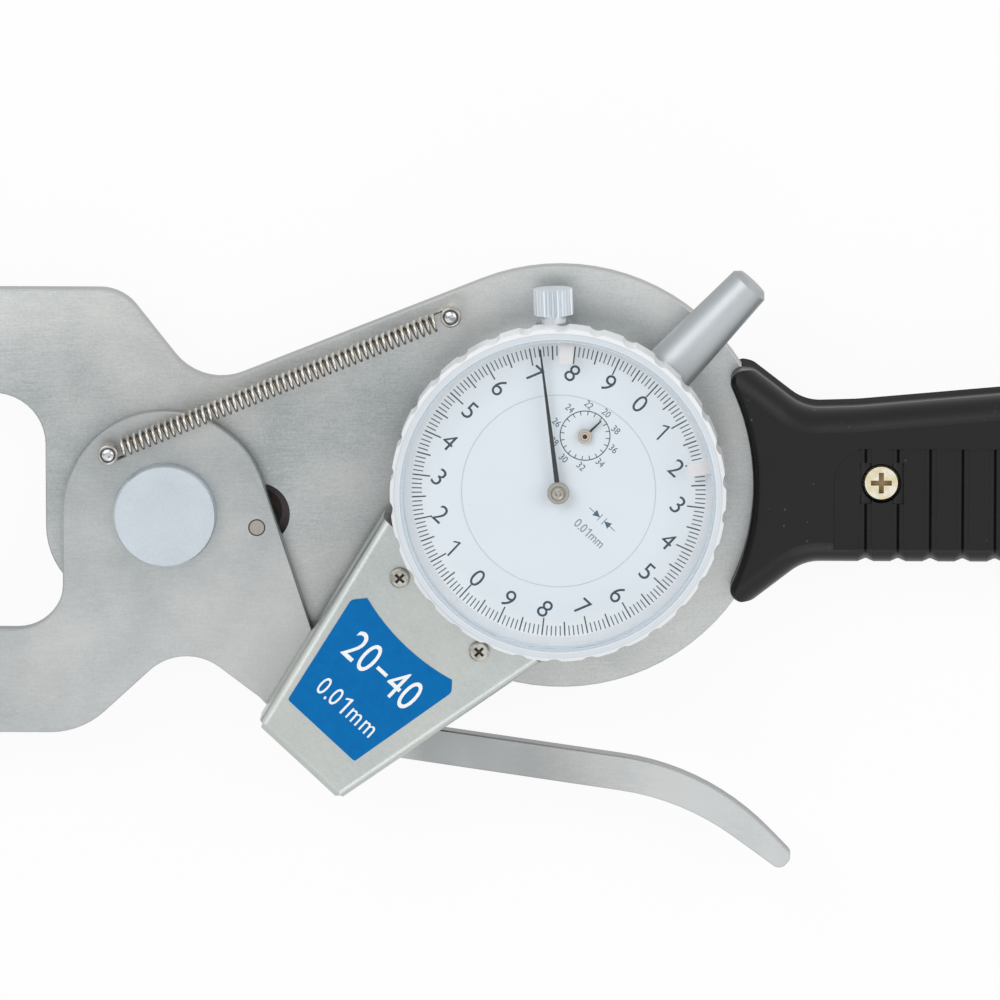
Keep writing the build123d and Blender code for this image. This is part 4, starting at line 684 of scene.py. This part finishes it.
# 0.01mm, as shares of the size: (character, right of the middle, above it), and the 1 between them
divisionSpots = [("0", -1.15, 0.0), (".", -0.83, -0.31), ("0", -0.56, 0.0), ("m", 0.43, -0.093),
                 ("m", 1.08, -0.093)]
divisionOne = dict(left=0.045, height=0.70, half=0.042)
dialWords = dict(u=8.9 * mm, v=-1.75 * mm, size=2.3 * mm, squeeze=0.85, film=0.02 * mm)


def division(u, v, size, squeeze, film, level):
    # the words 0.01mm about (u, v), set from single characters
    words = [(character, u + right * size, v + above * size) for character, right, above in divisionSpots]
    one = figureOne(u - divisionOne["left"] * size, v, divisionOne["height"] * size,
                    divisionOne["half"] * size, level, film)
    return joined([lettering(words, size, level, film, 0.0, squeeze), one])


ridden(newPiece("dial_division_words", *division(level=dialFace, **dialWords), greyInk),
       "frame")

# Range plate's words
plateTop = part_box("range_label")[1].z
plateWords = dict(film=0.04 * mm, u=-0.4 * mm, v=-44.1 * mm, size=8.1 * mm, squeeze=0.74, spacing=1.04,
                  apart=4.75 * mm, dashHalf=1.15 * mm, dashWidth=0.33 * mm, dashDrop=0.25 * mm)
unitWords = dict(u=-0.5 * mm, v=-53.05 * mm, size=4.75 * mm, squeeze=0.77, film=0.04 * mm)
rangeWord = lettering([("20", plateWords["u"] - plateWords["apart"], plateWords["v"]),
                       ("40", plateWords["u"] + plateWords["apart"], plateWords["v"])],
                      plateWords["size"], plateTop, plateWords["film"], 0.0, plateWords["squeeze"],
                      plateWords["spacing"])
dashV = plateWords["v"] - plateWords["dashDrop"]
dash = barsFrom(onDial(np.array([plateWords["u"] - plateWords["dashHalf"]]), np.array([dashV])),
                onDial(np.array([plateWords["u"] + plateWords["dashHalf"]]), np.array([dashV])),
                [plateWords["dashWidth"]], plateTop, plateWords["film"])
unitWord = division(level=plateTop, **unitWords)
ridden(newPiece("range_words", *joined([rangeWord, dash, unitWord]), whiteInk), "frame")

# Pale line that closes the gap between the fixed dial and the ring
gap = dict(inner=16.71 * mm, outer=16.84 * mm, sink=0.06 * mm, thickness=0.04 * mm, segments=144)
gapRing = flatRing(dialCentre, gap["inner"], gap["outer"], dialFace - gap["sink"], gap["thickness"],
                   gap["segments"])
ridden(newPiece("dial_gap_line", *gapRing, faintInk), "frame")

# Soft line where the crystal meets its seat in the bezel
seatLine = dict(inner=0.54 * mm, outer=0.16 * mm, sink=0.03 * mm, thickness=0.07 * mm, segments=192)
seatRing = flatRing(dialCentre, crystalRadius - seatLine["inner"], crystalRadius + seatLine["outer"],
                    crystalHigh.z - seatLine["sink"], seatLine["thickness"], seatLine["segments"])
ridden(newPiece("crystal_seat_line", *seatRing, faintInk), "bezel_body")
print("scales and words made")

# Boss on the pointer's hub: a rimmed disc with a pin in its middle
boss = dict(radius=1.15 * mm, height=0.16 * mm, rim=0.22 * mm, pin=0.42 * mm, pinHeight=0.3 * mm,
            sink=0.05 * mm, floor=0.02 * mm, bevel=0.06 * mm, slope=0.05 * mm, pinBevel=0.1 * mm, segments=48)


def bossProfile(hubTop):
    # up the outside, over the rim, down to the floor and up the pin, as (radius, height)
    rimTop, pinTop = hubTop + boss["height"], hubTop + boss["pinHeight"]
    rimInner, floor = boss["radius"] - boss["rim"], hubTop + boss["floor"]
    return [(0.0, hubTop - boss["sink"]), (boss["radius"], hubTop - boss["sink"]),
            (boss["radius"], hubTop + 0.6 * boss["height"]), (boss["radius"] - boss["bevel"], rimTop),
            (rimInner, rimTop), (rimInner - boss["slope"], floor), (boss["pin"], floor),
            (boss["pin"], pinTop - boss["pinBevel"]), (boss["pin"] * 0.7, pinTop), (0.0, pinTop)]


def weld(piece):
    # joins the doubled points of a pole and turns the faces outwards
    shape = bmesh.new()
    shape.from_mesh(piece.data)
    bmesh.ops.remove_doubles(shape, verts=shape.verts, dist=1e-7)
    bmesh.ops.recalc_face_normals(shape, faces=shape.faces)
    shape.to_mesh(piece.data)
    shape.free()
    piece.data.update()


bossShape = revolved(bossProfile(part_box("main_pointer")[1].z), dialCentre, boss["segments"], False)
bossPiece = newPiece("pointer_hub_boss", *bossShape, finishes["hand_black"], True)
weld(bossPiece)
ridden(bossPiece, "pointer_body")

# Domes over the heads of both spring posts: a crown, a groove round it and a rounded rim
dome = dict(crown=1.12 * mm, crownRise=0.42 * mm, groove=1.26 * mm, rim=1.80 * mm, rimRise=0.24 * mm,
            over=0.06 * mm, skirt=1.2 * mm, crownSteps=8, rimSteps=9, segments=40)
# tones: bright crown, painted dark reflections on it, hook wire on the rim, painted shade in the groove
domeTones = dict(bright=(0.66, 0.68, 0.69), paintedDarkReflection=(0.20, 0.22, 0.24), wire=(0.36, 0.345, 0.31),
                 groove=(0.11, 0.11, 0.115))


def domeFinish(slot, centre, bright, paintedDarkReflection, wire, groove):
    finish = newFinish(slot)
    distance = finish.fromAxis(centre)
    cloud = finish.noise(900.0, 2.0)
    # painted reflections: dark patches across the bright crown
    patches = finish.step(finish.noise(1500.0, 2.0), 0.42, 0.60)
    onCrown = 1.0 - finish.step(distance, dome["crown"] - 0.10 * mm, dome["crown"])
    outside = finish.step(distance, dome["groove"], dome["groove"] + 0.10 * mm)
    crownTone = finish.mix(patches * 0.75, bright, paintedDarkReflection)
    # painted shade in the groove between crown and rim; the rim takes the hook wire's colour
    body = finish.mix(onCrown, finish.mix(outside, groove, wire), crownTone)
    finish.surface(Base_Color=body, Metallic=1.0, Roughness=(0.22 + (cloud - 0.5) * 0.1),
                   Normal=finish.bump(cloud, 0.1, 0.00001))


def domeProfile(postTop):
    # crown: crown * sin a out and crownRise * cos a up; rim: a half round between groove and rim
    low = postTop + dome["over"]
    middle, half = (dome["groove"] + dome["rim"]) / 2, (dome["rim"] - dome["groove"]) / 2
    bow = np.linspace(0.0, np.pi / 2, dome["crownSteps"])
    arch = np.linspace(0.0, np.pi, dome["rimSteps"])
    crown = np.column_stack([dome["crown"] * np.sin(bow), low + dome["crownRise"] * np.cos(bow)])
    rim = np.column_stack([middle - half * np.cos(arch), low + dome["rimRise"] * np.sin(arch)])
    foot = np.array([(dome["rim"], postTop - dome["skirt"]), (0.0, postTop - dome["skirt"])])
    return np.concatenate([crown, rim, foot])


for postName, body in (("spring_post_arm", "arm"), ("spring_post_plate", "frame")):
    domeFinish(postName + "_dome_steel", nodeCentre(postName), **domeTones)
    profile = domeProfile(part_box(postName)[1].z)
    domeShape = revolved(profile[::-1], nodeCentre(postName), dome["segments"], False)
    domePiece = newPiece(postName + "_dome", *domeShape, finishes[postName + "_dome_steel"], True)
    weld(domePiece)
    ridden(domePiece, body)
print("hub boss and post heads made")

# Grip ribs: a strip in each groove of the handle, so that only a narrow valley is left between ribs
rib = dict(first=121.5 * mm, pitch=5.6 * mm, count=12, panel=16.6 * mm, top=12.2 * mm, turnY=-3.5 * mm,
           turnZ=12.5 * mm, backZ=4.5 * mm, round=4.5 * mm, turnSteps=9, backTurn=0.62, backSteps=6,
           opening=2.0, sink=0.03 * mm, screws=(124.2 * mm, 178.0 * mm), screwReach=4.8 * mm,
           belowScrew=2.6 * mm, overScrew=9.8 * mm)
ribWide = np.array([-1.3, -1.3, -0.95, -0.6, -0.26, 0.0, 0.26, 0.6, 0.95, 1.3, 1.3]) * mm
ribDeep = dict(
    panel=np.array([-1.1, -0.01, -0.015, -0.02, -0.06, -0.36, -0.06, -0.02, -0.015, -0.01, -1.1]) * mm,
    side=np.array([-1.1, -0.01, -0.10, -0.26, -0.42, -0.48, -0.42, -0.26, -0.10, -0.01, -1.1]) * mm)


def ribStrips():
    # the section is carried down the panel, round the lower edge, down the side and round the back edge;
    # on a turn the path is its centre + round * (sin a, cos a), and the section stands outwards
    face = rib["panel"] - rib["turnZ"]
    entry = math.acos(face / rib["round"])
    turn = np.linspace(entry, np.pi / 2, rib["turnSteps"])
    backTurn = np.linspace(np.pi / 2, np.pi / 2 + rib["backTurn"], rib["backSteps"])
    ys = np.concatenate([[rib["top"]], rib["turnY"] - rib["round"] * np.sin(turn),
                         rib["turnY"] - rib["round"] * np.sin(backTurn)])
    zs = np.concatenate([[rib["panel"]], rib["turnZ"] + rib["round"] * np.cos(turn),
                         rib["backZ"] + rib["round"] * np.cos(backTurn)])
    outY = np.concatenate([[0.0], -np.sin(turn), -np.sin(backTurn)])
    outZ = np.concatenate([[1.0], np.cos(turn), np.cos(backTurn)])
    outY[1], outZ[1] = 0.0, 1.0
    # a narrow cut on the panel that opens to a soft hollow down the side
    opened = np.clip(np.linspace(0.0, rib["opening"], rib["turnSteps"]), 0.0, 1.0)
    share = np.concatenate([[0.0], opened, np.ones(rib["backSteps"])])[:, None]
    deep = ribDeep["panel"] * (1.0 - share) + ribDeep["side"] * share - rib["sink"]
    parts = []
    for place in range(rib["count"]):
        x = rib["first"] + place * rib["pitch"]
        nearScrew = min(abs(x - screw) for screw in rib["screws"]) < rib["screwReach"]
        ys[0] = rib["belowScrew"] if nearScrew else rib["top"]
        if nearScrew:
            us, deepest = x + ribWide, rib["panel"] + deep[0]
            over = [np.column_stack([us, np.full(len(us), y), deepest])
                    for y in (rib["top"], rib["overScrew"])]
            parts.append((np.concatenate(over), closedFaces(2, len(us))))
        points = np.stack([np.broadcast_to(x + ribWide, (len(ys), len(ribWide))),
                           ys[:, None] + outY[:, None] * deep, zs[:, None] + outZ[:, None] * deep], axis=-1)
        parts.append((points.reshape(-1, 3), closedFaces(len(ys), len(ribWide))))
    return joined(parts)


ridden(newPiece("grip_rib_strips", *ribStrips(), finishes["handle_black"]), "frame")
print("grip strips made:", rib["count"])

# Return spring: round wire, hooked round both posts, its coil close wound
wire = dict(turns=50, radius=0.29 * mm, coil=1.44 * mm, hook=1.47 * mm, nearLead=2.5 * mm, farLead=2.8 * mm,
            level=17.2 * mm, sides=8, perTurn=20, hookSteps=34, bendLength=20.0 * mm)
armPost = nodeCentre("spring_post_arm")
platePost = nodeCentre("spring_post_plate")
span = float(np.linalg.norm(platePost - armPost))
springWay = (platePost - armPost) / span
springSide = np.array([-springWay[1], springWay[0]])
springLook = dict(tone=(0.60, 0.575, 0.53), stain=(0.44, 0.40, 0.33), flankShade=(0.22, 0.205, 0.18))


def springFinish(tone, stain, flankShade):
    # drawn wire: stained in patches, with painted shade low down and along the lower flank of the coil
    finish = newFinish("spring_steel")
    flank = finish.node("VectorMath", {"operation": "DOT_PRODUCT"},
                        {0: finish.place(), 1: (springSide[0], springSide[1], 0.0)}, "Value")
    flank = flank - float(armPost @ springSide)
    # painted shade: 0 under the coil and on the flank away from the light, 1 elsewhere
    outOfShade = finish.step(flank, -1.6 * mm, -0.7 * mm) * finish.step(
        finish.level(), wire["level"] - 0.9 * mm, wire["level"] + 0.5 * mm)
    patches = finish.step(finish.noise(420.0, 3.0), 0.4, 0.7)
    drawn = finish.noise(3000.0, 2.0)
    finish.surface(
        Base_Color=finish.mix(outOfShade, flankShade, finish.mix(patches, tone, stain)), Metallic=1.0,
        Roughness=(0.20 + (drawn - 0.5) * 0.14), Normal=finish.bump(drawn, 0.1, 0.00001))


springFinish(**springLook)


def wirePath():
    # hook, coil and hook as (along, across, up) with the outward direction at each point:
    # a hook is three quarters of a circle about its post, the coil a helix about the line of posts
    turn = np.linspace(0.0, 1.5 * np.pi, wire["hookSteps"])
    nearHook = np.stack([np.cos(turn), np.sin(turn), 0 * turn], axis=1)
    spin = 1.5 * np.pi + np.linspace(0.0, (2 * wire["turns"] + 1) * np.pi, wire["turns"] * wire["perTurn"])
    coilOut = np.stack([0 * spin, np.sin(spin), np.cos(spin)], axis=1)
    coilAlong = np.linspace(wire["nearLead"], span - wire["farLead"], len(spin))
    coil = coilOut * wire["coil"] + np.stack([coilAlong, 0 * spin, 0 * spin], axis=1)
    farHook = nearHook[::-1] * np.array([-1.0, -1.0, 1.0])
    points = np.concatenate([nearHook * wire["hook"], coil,
                             farHook * wire["hook"] + np.array([span, 0.0, 0.0])])
    return points, np.concatenate([nearHook, coilOut, farHook])


def tube(points, outward, radius, sides):
    # circles square to the path: radius * (cos a * outward + sin a * sideways)
    way = np.gradient(points, axis=0)
    way /= np.linalg.norm(way, axis=1, keepdims=True)
    outward = outward - way * np.sum(outward * way, axis=1, keepdims=True)
    outward /= np.linalg.norm(outward, axis=1, keepdims=True)
    sideways = np.cross(way, outward)
    angle = np.linspace(0.0, 2 * np.pi, sides, endpoint=False)[None, :, None]
    skin = points[:, None] + radius * (np.cos(angle) * outward[:, None] + np.sin(angle) * sideways[:, None])
    faces = [list(face) for face in gridFaces(len(points), sides)[:, ::-1]]
    last = (len(points) - 1) * sides
    return skin.reshape(-1, 3), faces + [list(range(sides)), list(range(last + sides - 1, last - 1, -1))]


pathPoints, pathOutward = wirePath()
skin, wireFaces = tube(pathPoints, pathOutward, wire["radius"], wire["sides"])
flatPlace = armPost + skin[:, :1] * springWay + skin[:, 1:2] * springSide
springPiece = newPiece("return_spring_wire", np.column_stack([flatPlace, skin[:, 2] + wire["level"]]),
                       wireFaces, finishes["spring_steel"], True)
weld(springPiece)
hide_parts("return_spring")
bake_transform(springPiece)
print("spring made:", len(skin), "points")

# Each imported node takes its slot's finish
nodeSlots = {row["node"]: row["material_slot"] for row in frame["record"]["subparts"]}
for nodeName, nodeObject in frame["nodes"].items():
    nodeObject.data.materials.clear()
    nodeObject.data.materials.append(finishes[nodeSlots[nodeName]])
print("nodes dressed:", len(nodeSlots))

# Floor, world and lamps
floorLook = dict(reach=3.0, colour=(0.93, 0.93, 0.93), glow=0.92)
skyLook = dict(light=0.50, backdrop=1.0)
white = (1.0, 1.0, 1.0, 1.0)


def seenRays(finish):
    # 1 for rays from the camera, in reflections and through glass, 0 for the light on the object
    camera, glossy, through = [finish.node("LightPath", output=name) for name in (
        "Is Camera Ray", "Is Glossy Ray", "Is Transmission Ray")]
    return (camera + glossy + through).limited()


floorMaterial = bpy.data.materials.new("floor_white")
floorMaterial.use_nodes = True
floorFinish = Finish(floorMaterial.node_tree)
plain = floorFinish.node("BsdfDiffuse", {}, {"Color": (*floorLook["colour"], 1.0)})
glow = floorFinish.node("Emission", {}, {"Color": white, "Strength": 1.0})
share = seenRays(floorFinish) * floorLook["glow"]
floorMix = floorFinish.node("MixShader", {}, {0: share, 1: plain, 2: glow})
floorFinish.node("OutputMaterial", {}, {"Surface": floorMix})
reach = floorLook["reach"]
floorPoints = [(-reach, -reach, 0.0), (reach, -reach, 0.0), (reach, reach, 0.0), (-reach, reach, 0.0)]
newPiece("floor", floorPoints, [[0, 1, 2, 3]], floorMaterial)

world = bpy.data.worlds.new("studio")
world.use_nodes = True
bpy.context.scene.world = world
sky = Finish(world.node_tree)
skyStrength = skyLook["light"] + seenRays(sky) * (skyLook["backdrop"] - skyLook["light"])
backdrop = sky.node("Background", {}, {"Color": white, "Strength": skyStrength})
sky.node("OutputWorld", {}, {"Surface": backdrop})

lamps = {
    "key": dict(place=(-0.55, 0.75, 1.25), power=7.8, size=1.0),
    "fill": dict(place=(0.95, 0.35, 1.0), power=4.0, size=0.9),
    "front": dict(place=(0.1, -1.1, 0.9), power=3.0, size=0.9),
}
target = Vector((0.058, 0.00205, 0.0105))
for lampName, lamp in lamps.items():
    light = bpy.data.lights.new(lampName, "AREA")
    light.energy = lamp["power"]
    light.size = lamp["size"]
    holder = bpy.data.objects.new(lampName, light)
    holder.location = lamp["place"]
    holder.rotation_euler = (target - holder.location).to_track_quat("-Z", "Y").to_euler()
    bpy.context.scene.collection.objects.link(holder)

# Camera: a long lens, nearly straight down, a little from the fixed jaw's side
view = dict(lean=(0.026, 0.165, 1.0), distance=2.5, width=173.7 * mm, sensor=36.0, reach=20.0)
camera = bpy.data.cameras.new("camera")
camera.sensor_width = view["sensor"]
camera.lens = view["sensor"] * view["distance"] / view["width"]
camera.clip_end = view["reach"]
cameraObject = bpy.data.objects.new("camera", camera)
back = Vector(view["lean"]).normalized()
right = Vector((0.0, 1.0, 0.0)).cross(back).normalized()
up = back.cross(right)
turnMatrix = Matrix((right, up, back)).transposed().to_4x4()
cameraObject.matrix_world = Matrix.Translation(target + back * view["distance"]) @ turnMatrix
bpy.context.scene.collection.objects.link(cameraObject)
bpy.context.scene.camera = cameraObject
bpy.context.scene.view_settings.view_transform = "Standard"
print("floor, lamps and camera set")
